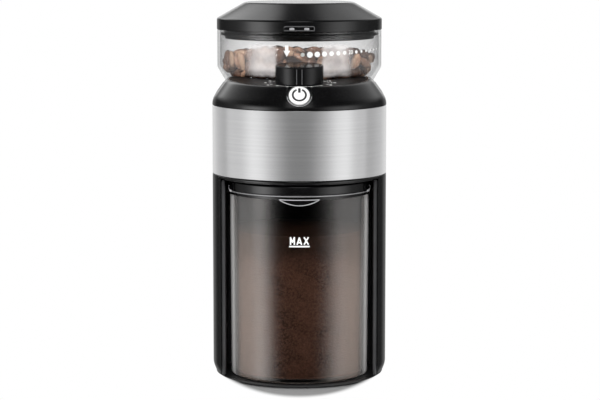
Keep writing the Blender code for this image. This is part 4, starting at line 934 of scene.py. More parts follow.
@dataclass
class Base(Assembly):
    """The black plate under the housing and its four rubber feet."""

    stand: float = 0.8
    top: float = 3.0
    inset: float = 2.2
    foot_radius: float = 7.0
    foot_x: float = 40.0
    foot_y: float = 30.0

    def build(self) -> None:
        """Plate and feet."""
        full, stand, top = BODY.radius - self.inset, self.stand, self.top
        edge = [(full - 5, stand, 0), (full - 2.2, stand + 0.25, 1.2), (full, top - 0.5, 1.2), (full, top, 0)]
        self.put(Solid.turned(edge, BODY.plan, closed=False), "base_plate_fine", BASE_BLACK, "housing", "base_plate")
        self.put(self._feet(), "feet", FOOT_RUBBER, "housing", *(f"foot_{k}" for k in range(1, 5)))

    def _feet(self) -> Solid:
        """Four round pads, dished and ringed underneath."""
        r, groove = self.foot_radius, 0.35
        tread = [(r, self.stand + 1.0, 0), (r, 0.3, 0.3), (r - 0.3, 0, 0.2)]
        tread += [(r * share, height, 0.1) for share, height in (
            (0.82, 0), (0.78, groove), (0.66, groove), (0.62, 0), (0.48, 0), (0.44, groove))]
        pad = Solid.turned([*tread, (r * 0.2, groove, 0)], round_plan(32), closed=False, steps=2)
        grid = GridOfCopies("foot_grid", 2, 2, 2 * self.foot_x * MM, 2 * self.foot_y * MM)
        return grid.make(pad.mesh, FOOT_RUBBER).moved(at(0, (BODY.front_y + BODY.axis_y) / 2, 0))


@dataclass
class Housing(Assembly):
    """The glossy black shell with the jar bay in front, the bay's liner and the steel band above."""

    wall: float = 2.5
    edge_round: float = 7.5
    edge_inset: float = 2.2
    rim: float = 2.0
    bay_back: float = 18.0
    bay_corner: float = 9.0
    liner_wall: float = 2.9
    roof: float = 148.3
    band_low: float = 151.4
    band_high: float = 201.6
    band_wall: float = 0.8
    gap: float = 0.3
    inlet_radius: float = 6.3
    inlet_height: float = 26.0

    def build(self) -> None:
        """Shell, liner and band."""
        self.put(self._shell(), "housing_shell_fine", HOUSING_BLACK, "housing", "housing_shell")
        self.put(self._liner(), "bay_liner_fine", LINER_BLACK, "housing", "bay_liner")
        sheet = rounded_box(BODY.radius - self.band_wall, self.band_low, BODY.radius, self.band_high,
                            0.1, 0.35, 0.35, 0.1, steps=4)
        self.put(Solid.wrapped(sheet, BODY.plan), "steel_band_fine", BAND_STEEL, "housing", "steel_band")

    def _wall_plan(self, inset: float) -> list[Point]:
        """The shell's wall in plan: a C that is open at the bay, its two ends rounded."""
        side, outer = BODY.bay_half + self.liner_wall + self.gap, BODY.radius - inset
        faces = []
        for radius, tip in ((outer, 0.7), (outer - self.wall, 0.4)):
            run = arc((0, BODY.front_y), radius, asin(side / radius) - pi / 2, 0, 20)
            run += [(radius, (BODY.front_y + BODY.axis_y) / 2), *arc((0, BODY.axis_y), radius, 0, pi / 2, 30)]
            faces.append([(*run[0], tip), *((x, y, 0.0) for x, y in run[1:])])
        right, inside = faces
        left, left_in = ([(-x, y, r) for x, y, r in face] for face in faces)
        return filleted(right + left[-2::-1] + left_in[:-1] + inside[::-1], steps=4)

    def _shell(self) -> Solid:
        """The C-shaped wall with its rounded foot, and the closed rim that the band stands on."""
        low, steps = BODY.shell_top - self.rim, 10
        levels = [(self.edge_inset * (1 - sin(pi / 2 * k / steps)), BODY.shell_bottom + self.edge_round * k / steps)
                  for k in range(steps + 1)]
        wall = Solid.wrapped([*levels, (0.0, low)], self._wall_plan, cyclic=False)
        rim = rounded_box(BODY.radius - self.wall, low, BODY.radius, BODY.shell_top, 0.2, 0.45, 1.3, 0.2, steps=4)
        inlet = Solid.rod(self.inlet_radius, -9, 9, 40)
        inlet.moved(at(0, BODY.axis_y + BODY.radius, self.inlet_height, pi / 2))
        return wall.cut(inlet).with_(Solid.wrapped(rim, BODY.plan))

    def _liner(self) -> Solid:
        """The bay's walls, a U in plan with softly rounded front edges."""
        half, outer, corner = BODY.bay_half, BODY.bay_half + self.liner_wall, self.bay_corner
        back = BODY.front_y + self.bay_back
        front = BODY.front_y - sqrt((BODY.radius - self.wall / 2) ** 2 - outer**2)
        side = [(half, back, corner), (half, front, 1.2), (outer, front, 1.2),
                (outer, back + self.liner_wall, corner + 2)]
        outline = filleted(side + [(-x, y, r) for x, y, r in reversed(side)], steps=8)
        return Solid.prism(outline, BODY.shell_bottom, self.roof - self.gap)


@dataclass
class TopCover(Assembly):
    """The moulding over the band: a leaning shoulder, a sloping deck in front and a recess for the hopper."""

    wall: float = 2.2
    plateau: float = 214.5
    recess: float = 60.3
    throat: float = 34.0
    shoulder_lean: float = radians(36)
    shoulder_arc: float = 12.0
    straight: float = 11.0
    brow_arc: float = 10.0
    brow_lean: float = radians(70)
    brow_reach: float = 7.0
    softness: float = 1.1
    button_climb: float = 10.5
    socket_radius: float = 9.5
    dial_hole: float = 3.6

    def _profile(self, inset: float) -> list[Point]:
        """(radius, height) up the shoulder and over the brow."""
        lean, brow = self.shoulder_lean, self.brow_lean

        def bend(start: Point, size: float, first: float, last: float, count: int) -> list[Point]:
            """An arc that goes on from a point, from one lean to another."""
            centre = (start[0] - size * cos(first), start[1] - size * sin(first))
            return arc(centre, size, first, last, count)

        def run(start: Point, inward: float, up: float, count: int) -> list[Point]:
            """A straight that goes on from a point."""
            return [(start[0] - inward * k / count, start[1] + up * k / count) for k in range(1, count + 1)]

        shoulder = bend((BODY.radius - inset, BODY.cover_bottom), self.shoulder_arc, 0.0, lean, 8)
        rise = run(shoulder[-1], self.straight * sin(lean), self.straight * cos(lean), 6)
        over = bend(rise[-1], self.brow_arc, lean, brow, 10)
        reach = run(over[-1], self.brow_reach * sin(brow), self.brow_reach * cos(brow), 4)
        return shoulder + rise[:-1] + over + reach + run(reach[-1], 20, 4, 4)

    def _solid(self, inset: float, softness: float) -> Solid:
        """The cover's full shape under the deck, one wall in where an inset is given."""
        profile = self._profile(inset)
        if inset:
            profile = [(profile[0][0], BODY.cover_bottom - 1)] + profile
        drop = inset / cos(BODY.deck_tilt)

        def under_deck(point: Vector) -> Vector:
            """Lowers a point to the deck, with a soft edge between deck and shoulder."""
            deck = BODY.deck_height(point.y) - drop
            soft = (point.z + deck - sqrt((point.z - deck) ** 2 + softness**2)) / 2
            point.z = soft if softness else min(point.z, deck)
            return point

        return Solid.wrapped(profile, BODY.plan, cyclic=False).moved(under_deck)

    @property
    def on_button(self) -> Matrix:
        """From the button's own frame, its face towards +Z."""
        lean, climb = self.shoulder_lean, self.button_climb
        inward = self.shoulder_arc * (1 - cos(lean)) + (climb - self.shoulder_arc * sin(lean)) * tan(lean)
        return at(0, BODY.front_y - BODY.radius + inward, BODY.cover_bottom + climb, pi / 2 - lean)

    def build(self) -> None:
        """Shell with its recess, throat, dial hole and button socket."""
        axis, plateau = at(0, BODY.axis_y, 0), self.plateau
        outer = self._solid(0.0, self.softness)
        outer.cut(Solid.rod(self.recess, plateau, plateau + 30, 160).moved(axis)).welded()
        inner = self._solid(self.wall, 0.0)
        inner.cut(Solid.rod(self.recess + self.wall, plateau - self.wall, plateau + 30, 160).moved(axis)).welded()
        outer.cut(inner).welded().cut(
            Solid.rod(self.throat, plateau - 9, plateau + 9, 96).moved(axis),
            Solid.rod(self.dial_hole, -9, 9, 48).moved(BODY.on_knob),
            Solid.rod(self.socket_radius, -14, 9, 72).moved(self.on_button)).welded()
        self.put(outer.eased(0.45, 42.0), "top_cover_fine", COVER_BLACK, "housing", "top_cover", angle=30.0)


# ---------------------------------------------------------------- button and dial


@dataclass
class PowerButton(Assembly):
    """The white push cap with its power sign, in a black sleeve."""

    radius: float = 7.6
    gap: float = 0.4
    sleeve: float = 1.2
    sink: float = 0.8
    length: float = 12.0
    proud: float = 0.6
    skirt: float = -3.9
    stem_radius: float = 2.0
    stem_end: float = -6.7
    halo_radius: float = 8.72
    halo_open: float = radians(4)
    sign_radius: float = 5.4
    sign_stroke: float = 1.45
    sign_gap: float = radians(24)
    bar_half: float = 0.9

    def build(self) -> None:
        """Sleeve, a painted highlight along its lower edge, cap and sign."""
        place, plan, inner = TopCover().on_button, round_plan(72), self.radius + self.gap
        ring = rounded_box(inner, -self.length, inner + self.sleeve, -self.sink, 0.2, 0.2, 0.25, 0.5, steps=4)
        above = Solid.block((-200, -200, -0.1), (200, 200, 200)).moved(BODY.on_knob)
        sleeve = Solid.wrapped(ring, plan).moved(place).cut(above)
        self.put(sleeve, "button_sleeve", SATIN_BLACK, "housing", "button_bezel")
        # Painted highlight: a pale arc round the lower half of the sleeve.
        halo = arc((0, 0), self.halo_radius, pi + self.halo_open, 2 * pi - self.halo_open, 40)
        halo_highlight = ribbon([(x, y, 0.02 - self.sink) for x, y in halo], UP, 0.42, 0.1).moved(place)
        self.put(halo_highlight, "button_trim", HIGHLIGHT_PALE, "housing")
        cap = [(0.6, self.proud, 0), (self.radius, self.proud, 0.9), (self.radius, self.skirt, 0.2),
               (self.stem_radius, self.skirt, 0.2), (self.stem_radius, self.stem_end, 0.2), (0.4, self.stem_end, 0)]
        push = Solid.turned(cap, plan, closed=False).moved(place)
        self.put(push, "power_cap", BUTTON_WHITE, "button", "power_button")
        self.put(self._sign().moved(place), "power_sign", PRINT_BLACK, "button")

    def _sign(self) -> Solid:
        """An open ring with a bar in its gap."""
        low, high = self.proud - 0.02, self.proud + 0.03
        start, end = pi / 2 + self.sign_gap, 5 * pi / 2 - self.sign_gap
        inside = self.sign_radius - self.sign_stroke
        ring = arc((0, 0), self.sign_radius, start, end, 48) + arc((0, 0), inside, end, start, 48)
        bar = rounded_box(-self.bar_half, 1.9, self.bar_half, 5.6, 0.3)
        return Solid.prism(ring, low, high).with_(Solid.prism(bar, low, high))


@dataclass
class Dial(Assembly):
    """The cup dial: a knob with a pointer rib, and the scale printed on the deck round it."""

    radius: float = 17.4
    low: float = 0.3
    top: float = 13.3
    bore: float = 3.4
    crown: float = 3.0
    rib_half: float = 2.25
    rib_proud: float = 0.55
    tick_radius: float = 21.2
    tick_step: float = radians(24.0)
    ticks: int = 11
    line_radius: float = 19.6
    numeral_height: float = 2.8
    numeral_radius: float = 24.6
    numerals: tuple[tuple[str, float], ...] = (("2", -120), ("4", -96), ("6", -66), ("8", 66), ("10", 96), ("12", 120))

    def build(self) -> None:
        """Knob, painted highlights along its rib's edges, ticks and numerals."""
        low, top, crown, face = self.low, self.top, self.top - self.crown, self.radius + self.rib_proud
        profile = [(0.5, top, 0), (self.radius, top, 0.9), (self.radius, low, 0.5), (self.bore, low, 0.3),
                   (self.bore, crown, 0), (0.5, crown, 0)]
        knob = Solid.turned(profile, round_plan(128), closed=False)
        rib = rounded_box(-self.rib_half, -face, self.rib_half, 2 - self.radius, 0.55, 0.55, 0, 0)
        knob.join(Solid.prism(rib, low + 0.3, top - 0.7)).moved(BODY.on_knob)
        self.put(knob, "dial_knob_fine", KNOB_BLACK, "dial", "dial_knob")
        # Painted highlights: two pale lines along the rib's edges.
        lines, start, end = Solid(), low + 1.0, top - 1.2
        for x in (0.35 - self.rib_half, self.rib_half - 0.35):
            path = [(x, -face, start + (end - start) * k / 4) for k in range(5)]
            lines.with_(ribbon(path, Vector((0, -1, 0)), 0.6, 0.06))
        self.put(lines.moved(BODY.on_knob), "dial_pointer", HIGHLIGHT_GREY, "dial")
        self.put(self._scale(), "dial_scale", PRINT_WHITE, "housing")

    def _scale(self) -> Solid:
        """Ticks on a ring round the knob, and even cup numbers beside the outer ones."""
        stroke = Solid.block((-0.4, -0.03, -0.9), (0.4, 0.03, 0.9))
        first = -self.tick_step * (self.ticks - 1) / 2
        ring = RingOfCopies("dial_ticks", self.ticks, self.tick_radius * MM, first, self.tick_step)
        start, end = radians(-148), radians(-32)
        line = (arc((0, 0), self.line_radius + 0.3, start, end, 48) + arc((0, 0), self.line_radius, end, start, 48))
        scale = ring.make(stroke.mesh, PRINT_WHITE).with_(Solid.prism(line, -0.03, 0.03))
        for number, angle in self.numerals:
            x, y = self.numeral_radius * sin(radians(angle)), -self.numeral_radius * cos(radians(angle))
            scale.with_(lettering(number, self.numeral_height, 0.12).moved(at(x, y, 0)))
        return scale.moved(BODY.on_knob @ at(0, 0, 0.05))


# ---------------------------------------------------------------- hopper and lid


@dataclass
class Hopper(Assembly):
    """The clear bean hopper with its printed burr scale, filled with beans."""

    centre: Point = (0.0, BODY.axis_y)
    radius: float = 62.1
    foot: float = 55.2
    low: float = 214.8
    high: float = 254.7
    knee: float = 226.8
    wall: float = 2.0
    collar: float = 28.0
    collar_drop: float = 5.0
    print_depth: float = 0.03
    dot_height: float = 238.9
    dot_rise: float = 0.18
    dot_size: float = 2.2
    dot_shrink: float = 0.135
    first_dot: float = radians(7.1)
    dot_step: float = radians(5.05)
    heap_top: float = 234.0
    heap_slope: float = 0.126
    bean: Place = (12.6, 9.2, 6.8)

    def build(self) -> None:
        """Hopper, prints and beans."""
        low, wall, collar, drop, knee = self.low, self.wall, self.collar, self.low - self.collar_drop, self.knee
        outer = [(self.radius, self.high, 0.6), (self.radius, knee, 6), (self.foot + 1.2, low + 2.4, 4),
                 (self.foot - 0.6, low, 0.8), (collar, low, 0.4), (collar, drop, 0.4), (collar - wall, drop, 0.4),
                 (collar - wall, low + wall, 0.8), (self.foot - wall, low + wall, 1.5),
                 (self.radius - wall, knee + 1, 5), (self.radius - wall, self.high, 0.6)]
        shell = Solid.turned(outer, round_plan(144, self.centre), steps=7)
        self.put(shell, "hopper_fine", HOPPER_CLEAR, "hopper_unit", "hopper")
        self.put(self._prints(), "hopper_scale", PRINT_WHITE, "hopper_unit")
        word = self._onto(lettering("COARSE", 1.7), radians(8.0), 246.0)
        worn = self._onto(Solid.rod(1.5, -self.print_depth, self.print_depth, 20), radians(2.2), self.dot_height)
        self.put(word.with_(worn), "hopper_word", PRINT_WORN, "hopper_unit")
        self._beans()

    def _onto(self, flat: Solid, angle: float, height: float) -> Solid:
        """A print wrapped on to the hopper's wall."""
        return flat.moved(onto_cylinder(self.centre, self.radius + 0.05, angle, height))

    def _prints(self) -> Solid:
        """The grind scale: an arrow, dots that shrink from coarse to fine, and one number among them."""
        depth, dots = self.print_depth, []
        for before in (0, 7):
            disc, size = Solid.rod(1.0, -depth, depth, 24), self.dot_size - self.dot_shrink * before
            ring = RingOfCopies(f"scale_dots_{before + 1}", 6, (self.radius + 0.05) * MM,
                                self.first_dot + self.dot_step * before, self.dot_step, size, -self.dot_shrink,
                                self.dot_rise * MM)
            place = at(*self.centre, self.dot_height + self.dot_rise * before)
            dots.append(ring.make(disc.mesh, PRINT_WHITE).moved(place))
        head, shaft = 2.5, 1.25
        half = [(head, 0.3), (shaft, 0.3), (shaft, 4.2)]
        arrow = Solid.prism([(0, -4.2), *half, *((-x, y) for x, y in reversed(half))], -depth, depth)
        number = self._onto(lettering("20", 3.0, 0.06), self.first_dot + 6 * self.dot_step,
                            self.dot_height + 6 * self.dot_rise)
        return self._onto(arrow, radians(-8.5), 241.5).with_(number, *dots)

    def _bean_mesh(self) -> bpy.types.Mesh:
        """One bean: a domed back, a flatter belly and the groove along it."""
        length, width, height = (size / 2 * MM for size in self.bean)
        mesh = bpy.data.meshes.new("bean")
        with edited(mesh, empty=True) as shape:
            turn = Matrix.Rotation(pi / 2, 4, "Y")
            bmesh.ops.create_uvsphere(shape, u_segments=14, v_segments=10, radius=1.0, matrix=turn)
            crease = shape.verts.layers.float.new("crease")
            for vertex in shape.verts:
                x, y, z = vertex.co
                belly = z < -0.05
                groove = belly and abs(y) < 0.25 and abs(x) < 0.97
                z = z * (0.62 if belly else 1.0) + 0.26 * groove
                vertex[crease], vertex.co = float(groove), (x * length, y * width, z * height)
        mesh.shade_smooth()
        return mesh

    def _heap(self, corners: list[Place]) -> Solid:
        """A heap round the burr axis that rises towards the front."""

        def sloped(point: Vector) -> Vector:
            """Lifts a point in front of the axis, and lowers one behind it."""
            share = (point.z - self.knee) / (self.heap_top - self.knee)
            point.z -= self.heap_slope * (point.y - BODY.axis_y) * min(1.0, max(0.0, share))
            return point

        return Solid.turned(corners, round_plan(64, self.centre), closed=False).moved(sloped)

    def _beans(self) -> None:
        """Beans tumbled over a heap that follows the hopper, and a dark heart that fills the heap as painted shade
        between them.
        """
        reach, top, knee, foot, low = self.radius - self.wall - 5.6, self.heap_top, self.knee + 1, self.foot, self.low
        surface = self._heap([(2, top + 1.5, 0), (reach * 0.6, top + 1.0, 20), (reach, top, 3), (reach, knee, 5),
                              (foot - 7.5, low + 7, 2), (30, low + 6.5, 0)])
        beans = Scatter("bean_scatter", 8.0 * MM, 11).make(self._bean_mesh(), BEAN, surface.mesh)
        self.put(beans, "beans", BEAN, "hopper_unit", angle=180.0)
        reach -= 2.5
        # The heart is painted shade for the gaps between the beans.
        heart = self._heap([(2, top - 1, 0), (reach, top - 2, 3), (reach, knee, 5), (foot - 9, low + 8, 2),
                            (30, low + 7.5, 0)])
        self.put(heart, "bean_heart", BEAN_PAINTED_SHADE, "hopper_unit")


@dataclass
class Lid(Assembly):
    """The black lid: coned top, straight rim, front catch, inner skirt and seal."""

    radius: float = 62.4
    low: float = 255.0
    rim: float = 262.5
    top: float = 275.6
    flat: float = 41.0
    wall: float = 2.0
    skirt: float = 57.1
    skirt_low: float = 248.2
    catch_half: float = 11.4
    catch_low: float = 255.3
    catch_high: float = 259.9
    catch_reach: float = 1.3
    pad_spread: float = 5.4
    seal: tuple[float, ...] = (57.2, 250.8, 59.6, 252.8)

    def build(self) -> None:
        """Lid with its catch, painted highlights on the catch's outline and on two spots of it, and the seal."""
        wall, skirt, low, top, plan = self.wall, self.skirt, self.low, self.top, round_plan(160, (0.0, BODY.axis_y))
        place = at(0, BODY.axis_y - self.radius - self.catch_reach, (self.catch_low + self.catch_high) / 2, pi / 2)
        profile = [(4, top, 0), (self.flat, top, 9), (self.radius, self.rim + 0.9, 1.8), (self.radius, low, 0.5),
                   (skirt, low, 0.5), (skirt - 0.6, self.skirt_low, 0.7), (skirt - wall, self.skirt_low, 0.5),
                   (skirt - wall, self.rim - wall, 2), (self.flat - wall, top - wall, 4), (4, top - wall, 0)]
        tray = Solid.prism(self._catch_line(0, 1.4), -5, 0).eased(0.35)
        tray.cut(Solid.prism(self._catch_line(0.9, 0.7), -0.9, 2)).moved(place)
        lid = Solid.turned(profile, plan, closed=False, steps=7).with_(tray)
        self.put(lid, "lid_fine", LID_BLACK, "lid_unit", "lid")
        # Painted highlights: a pale line round the catch and two pale spots on it.
        line = [(x, z, 0.0) for x, z in self._catch_line(0.45, 1.0) if z > -1.2]
        self.put(ribbon(line, UP, 0.75, 0.08).moved(place), "catch_trim", HIGHLIGHT_GREY, "lid_unit")
        pads = Solid()
        for x in (-self.pad_spread, self.pad_spread):
            pads.with_(Solid.prism(rounded_box(x - 1.8, -0.9, x + 1.8, 0.9, 0.6), -1.0, -0.15).eased(0.25))
        self.put(pads.moved(place), "catch_pads", HIGHLIGHT_PALE, "lid_unit")
        seal = Solid.wrapped(rounded_box(*self.seal, 0.2, 0.5, 0.5, 0.2), plan)
        self.put(seal, "lid_seal_fine", LID_SEAL, "lid_unit", "lid_seal")

    def _catch_line(self, inset: float, radius: float) -> list[Point]:
        """The catch's outline, an inset inside its edge."""
        x, z = self.catch_half - inset, (self.catch_high - self.catch_low) / 2 - inset
        return rounded_box(-x, -z, x, z, radius)


# ---------------------------------------------------------------- jar


@dataclass
class Jar(Assembly):
    """The smoked grounds jar with its lid, finger tab, fill mark and grounds."""

    half: float = 51.4
    front: float = 60.5
    back: float = 15.0
    corner: float = 8.0
    low: float = 3.3
    high: float = 145.2
    wall: float = 2.2
    draft: float = 0.8
    lid_low: float = 139.5
    lid_high: float = 147.5
    lip_low: float = 137.5
    overhang: float = 2.2
    corner_angle: float = 15.0
    tab_half: float = 14.3
    tab_reach: float = 1.3
    tab_drop: float = 3.9
    fill: float = 111.0
    chute_hole: tuple[Point, Point] = ((-14.1, -33.7), (14.1, -17.0))
    letter: Point = (3.6, 5.3)
    letter_step: float = 4.95
    heavy: float = 1.0
    strokes: tuple[tuple[float, ...], ...] = (
        (-1, 0.12, 0, 0.12, 1), (-1, 0.88, 0, 0.88, 1), (-1, 0.14, 0.92, 0.5, 0.3), (-1, 0.5, 0.3, 0.86, 0.92),
        (0, 0.06, 0, 0.5, 0.95), (0, 0.5, 0.95, 0.94, 0), (0, 0.22, 0.26, 0.78, 0.26), (1, 0.08, 0.02, 0.92, 0.98),
        (1, 0.08, 0.98, 0.92, 0.02))

    @property
    def nose_y(self) -> float:
        """The centre of the half-round front."""
        return BODY.front_y - self.front + self.half

    def plan(self, inset: float) -> list[Point]:
        """The jar's outline, moved in by an inset: half round in front, rounded corners behind."""
        half, corner = self.half - inset, max(1, self.corner - inset)
        turn = BODY.front_y + self.back - inset - corner
        side = [(half, self.nose_y + (turn - self.nose_y) * k / 3) for k in (1, 2)]
        right = side + arc((half - corner, turn), corner, 0, pi / 2, 10)
        return arc((0, self.nose_y), half, pi, 2 * pi, 72) + right + [(-x, y) for x, y in reversed(right)]

    def build(self) -> None:
        """Jar, mark, grounds, lid and painted highlights on the lid and its finger tab."""
        low, high, wall, draft = self.low, self.high, self.wall, self.draft
        profile = [(draft + 4, low, 0), (draft, low, 1.6), (0, high, 0.7), (wall, high, 0.7),
                   (wall + draft, low + wall, 2.2), (wall + draft + 5, low + wall, 0)]
        self.put(Solid.turned(profile, self.plan, closed=False), "jar_fine", JAR_SMOKED, "jar_unit", "jar")
        self.put(self._mark(), "fill_mark", PRINT_WHITE, "jar_unit")
        self.put(self._grounds(), "grounds", GROUNDS, "jar_unit", angle=60.0)
        self.put(self._lid(), "jar_lid_fine", HOUSING_BLACK, "jar_unit", "jar_lid")
        # Painted highlights: a pale line along the lid's lower edge, with brighter strokes at its corners.
        first = self.corner_angle + 7.0
        edge = [(first + (180.0 - 2 * first) * k / 72, self.lid_low + 0.7) for k in range(73)]
        self.put(self._trim_line(edge, 0.7), "jar_lid_trim", HIGHLIGHT_SILVER, "jar_unit")
        self.put(self._corner_trim(), "jar_lid_corners", HIGHLIGHT_BRIGHT, "jar_unit")
        # Painted highlight round the finger tab's outline.
        flat = [Vector((x, y, self.overhang + self.tab_reach - 0.45)) for x, y in self._tab_line()]
        outs = [Vector((sin(point.x / self.half), -cos(point.x / self.half), 0)) for point in flat]
        rim = ribbon([tuple(self._bend_tab(point)) for point in flat], outs, 0.65, 0.15, closed=True)
        self.put(rim, "finger_tab_trim", HIGHLIGHT_PALE, "jar_unit")

    def _draft_at(self, height: float) -> float:
        """How far the outer wall has drawn in at a height."""
        return self.draft * (self.high - height) / (self.high - self.low)

    def _mark(self) -> Solid:
        """The word MAX in plain heavy strokes, over a bar that shows how far to fill."""
        edge = [(-7.4 + 14.8 * k / 8, -3.5) for k in range(9)]
        mark, (wide, high) = Solid.prism(edge + [(x, -4.6) for x, _ in reversed(edge)], -0.02, 0.02), self.letter
        for letter, *ends in self.strokes:
            a, b = (Vector((letter * self.letter_step + (x - 0.5) * wide, (y - 0.5) * high))
                    for x, y in (ends[:2], ends[2:]))
            side = Vector((a.y - b.y, b.x - a.x)).normalized() * self.heavy / 2
            along = (b - a).normalized() * 0.15
            bar = [a - along + side, a - along - side, b + along - side, b + along + side]
            mark.with_(Solid.prism([tuple(spot) for spot in bar], -0.02, 0.02))
        return mark.moved(onto_cylinder((0.0, self.nose_y), self.half - self._draft_at(107) + 0.06, 0.0, 108.0))

    def _grounds(self) -> Solid:
        """Ground coffee that fills the jar, its top gently heaped under the chute."""
        floor, inset = self.low + self.wall + 0.05, self.wall + 0.05
        profile = [(inset + self.draft + 2, floor)]
        levels = (floor + 1.6, floor + 40, floor + 80, self.fill)
        profile += [(inset + self._draft_at(height), height) for height in levels]
        profile += [(inset + step * 6, self.fill + lift)
                    for step, lift in ((0.5, 0.8), (1, 1.4), (2, 2.6), (3, 3.8), (4, 5.0), (5, 5.8), (5.6, 6.2))]
        return Solid.wrapped(profile, self.plan, cyclic=False)

    def _lid(self) -> Solid:
        """The cap over the jar with a beaded lower edge, its opening under the chute and the finger tab."""
        out, low, high, lip, wall = -self.overhang, self.lid_low, self.lid_high, self.lip_low, 0.35 - self.overhang
        profile = [(3, high - 2, 0), (-0.3, high - 2, 0.3), (-0.3, lip, 0.3), (-1.0, lip, 0.3), (-1.0, low, 0.1),
                   (out, low, 0.3), (out, low + 1.4, 0.3), (wall, low + 1.7, 0.3), (wall, high, 1.2), (3, high, 0)]
        lid = Solid.turned(profile, self.plan, closed=False, steps=5)
        lid.cut(Solid.block((*self.chute_hole[0], high - 5), (*self.chute_hole[1], high + 5)))
        tab = Solid.prism(self._tab_line(), 0, self.overhang + self.tab_reach - 0.3).eased(0.45, 40.0)
        return lid.with_(tab.moved(self._bend_tab))

    def _tab_line(self) -> list[Point]:
        """The finger tab as a lens: a level upper edge and a lower one that sags in the middle."""
        half, count = self.tab_half, 28
        upper = [(-half + 2 * half * k / count, 0.0) for k in range(count + 1)]
        return upper + [(x, -self.tab_drop * (1 - (x / half) ** 2)) for x, _ in reversed(upper[1:-1])]

    def _bend_tab(self, point: Vector) -> Vector:
        """Carries a point of the tab, Z outwards, on to the jar's round front, thinning towards the tips."""
        bow = max(0.0, 1 - (point.x / self.tab_half) ** 2)
        out, turn = self.half + 0.2 + point.z * (0.45 + 0.55 * bow), point.x / self.half
        return Vector((out * sin(turn), self.nose_y - out * cos(turn), self.lip_low + 0.3 + point.y))

    def _trim_line(self, path: list[Point], width: float) -> Solid:
        """A painted highlight: a flat line on the lid's rim through points given as (degrees round from the right,
        height).
        """
        out = self.half + self.overhang
        outs = [Vector((cos(radians(angle)), -sin(radians(angle)), 0)) for angle, _ in path]
        line = [(out * o.x, self.nose_y + out * o.y, height) for o, (_, height) in zip(outs, path)]
        return ribbon(line, outs, width, 0.06)

    def _corner_trim(self) -> Solid:
        """The painted highlight's two brighter ends, which turn up at the lid's sides."""
        edge, rise, corner = self.lid_low + 0.9, 2.4, self.corner_angle
        bend = [(corner + 4.5 * (1 - cos(pi / 8 * k)), edge + rise * (1 - sin(pi / 8 * k))) for k in range(1, 5)]
        path = [(corner, self.lid_high - 3.4), (corner, edge + rise), *bend, (corner + 8.0, edge)]
        across = [(180.0 - angle, height) for angle, height in reversed(path)]
        return self._trim_line(path, 1.5).with_(self._trim_line(across, 1.5))


# ---------------------------------------------------------------- cord inlet and mechanism


@dataclass
class Gland(Assembly):
    """The ribbed rubber bush where a mains lead leaves the back."""

    radius: float = 8.0
    reach: float = 4.0
    bore: float = 4.0
    neck: float = 6.0
    tail: float = -6.5
    height: float = 26.0
    groove: float = 0.45

    def build(self) -> None:
        """A turned bush with two grooves in its flange."""
        r, tail, bottom = self.radius, self.tail, self.radius - self.groove
        profile = [(self.bore, tail, 0.3), (self.neck, tail, 0.6), (self.neck, 0.3, 0.2), (r, 0.3, 0.3),
                   (r, 1.2, 0.15), (bottom, 1.45, 0.15), (bottom, 1.75, 0.15), (r, 2.0, 0.15), (r - 0.2, 2.6, 0.15),
                   (bottom - 0.2, 2.8, 0.15), (bottom - 0.3, 3.1, 0.1), (r - 0.4, 3.3, 0.15),
                   (r - 1.2, self.reach, 0.5), (self.bore, self.reach, 0.8)]
        bush = Solid.turned(profile, round_plan(64), steps=3)
        bush.moved(at(0, BODY.axis_y + BODY.radius, self.height, -pi / 2))
        self.put(bush, "cord_gland_fine", FOOT_RUBBER, "housing", "cord_gland")


class Mechanism(Assembly):
    """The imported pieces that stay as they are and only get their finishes."""

    DRESSED: ClassVar[dict[Finish, str]] = {
        SATIN_BLACK: "chassis hopper_switch tact_switch motor_cap gearbox_case gearbox_cover grind_chamber "
                     "grounds_chute adjust_ring burr_carrier",
        NYLON: "impeller burr_gear idler_large_gear idler_small_gear",
        ZINC: "burr_shaft burr_nut knob_shaft motor_can motor_shaft idler_pin potentiometer base_screw_1 base_screw_2 "
              "base_screw_3 base_screw_4 gearbox_screw_1 gearbox_screw_2 gearbox_screw_3",
        BURR_STEEL: "cone_burr ring_burr",
        BRONZE: "motor_pinion lower_bearing upper_bearing",
        BOARD: "control_board power_board switch_board",
        COIL: "transformer",
    }

    def build(self) -> None:
        """Puts a procedural material in every slot of each carried-over piece."""
        for finish, names in self.DRESSED.items():
            for name in names.split():
                mesh = frame["nodes"][name].data
                if not mesh.materials:
                    mesh.materials.append(None)
                for number in range(len(mesh.materials)):
                    mesh.materials[number] = material_of(finish)


# ---------------------------------------------------------------- studio


Ring = tuple[tuple[float, float], ...]


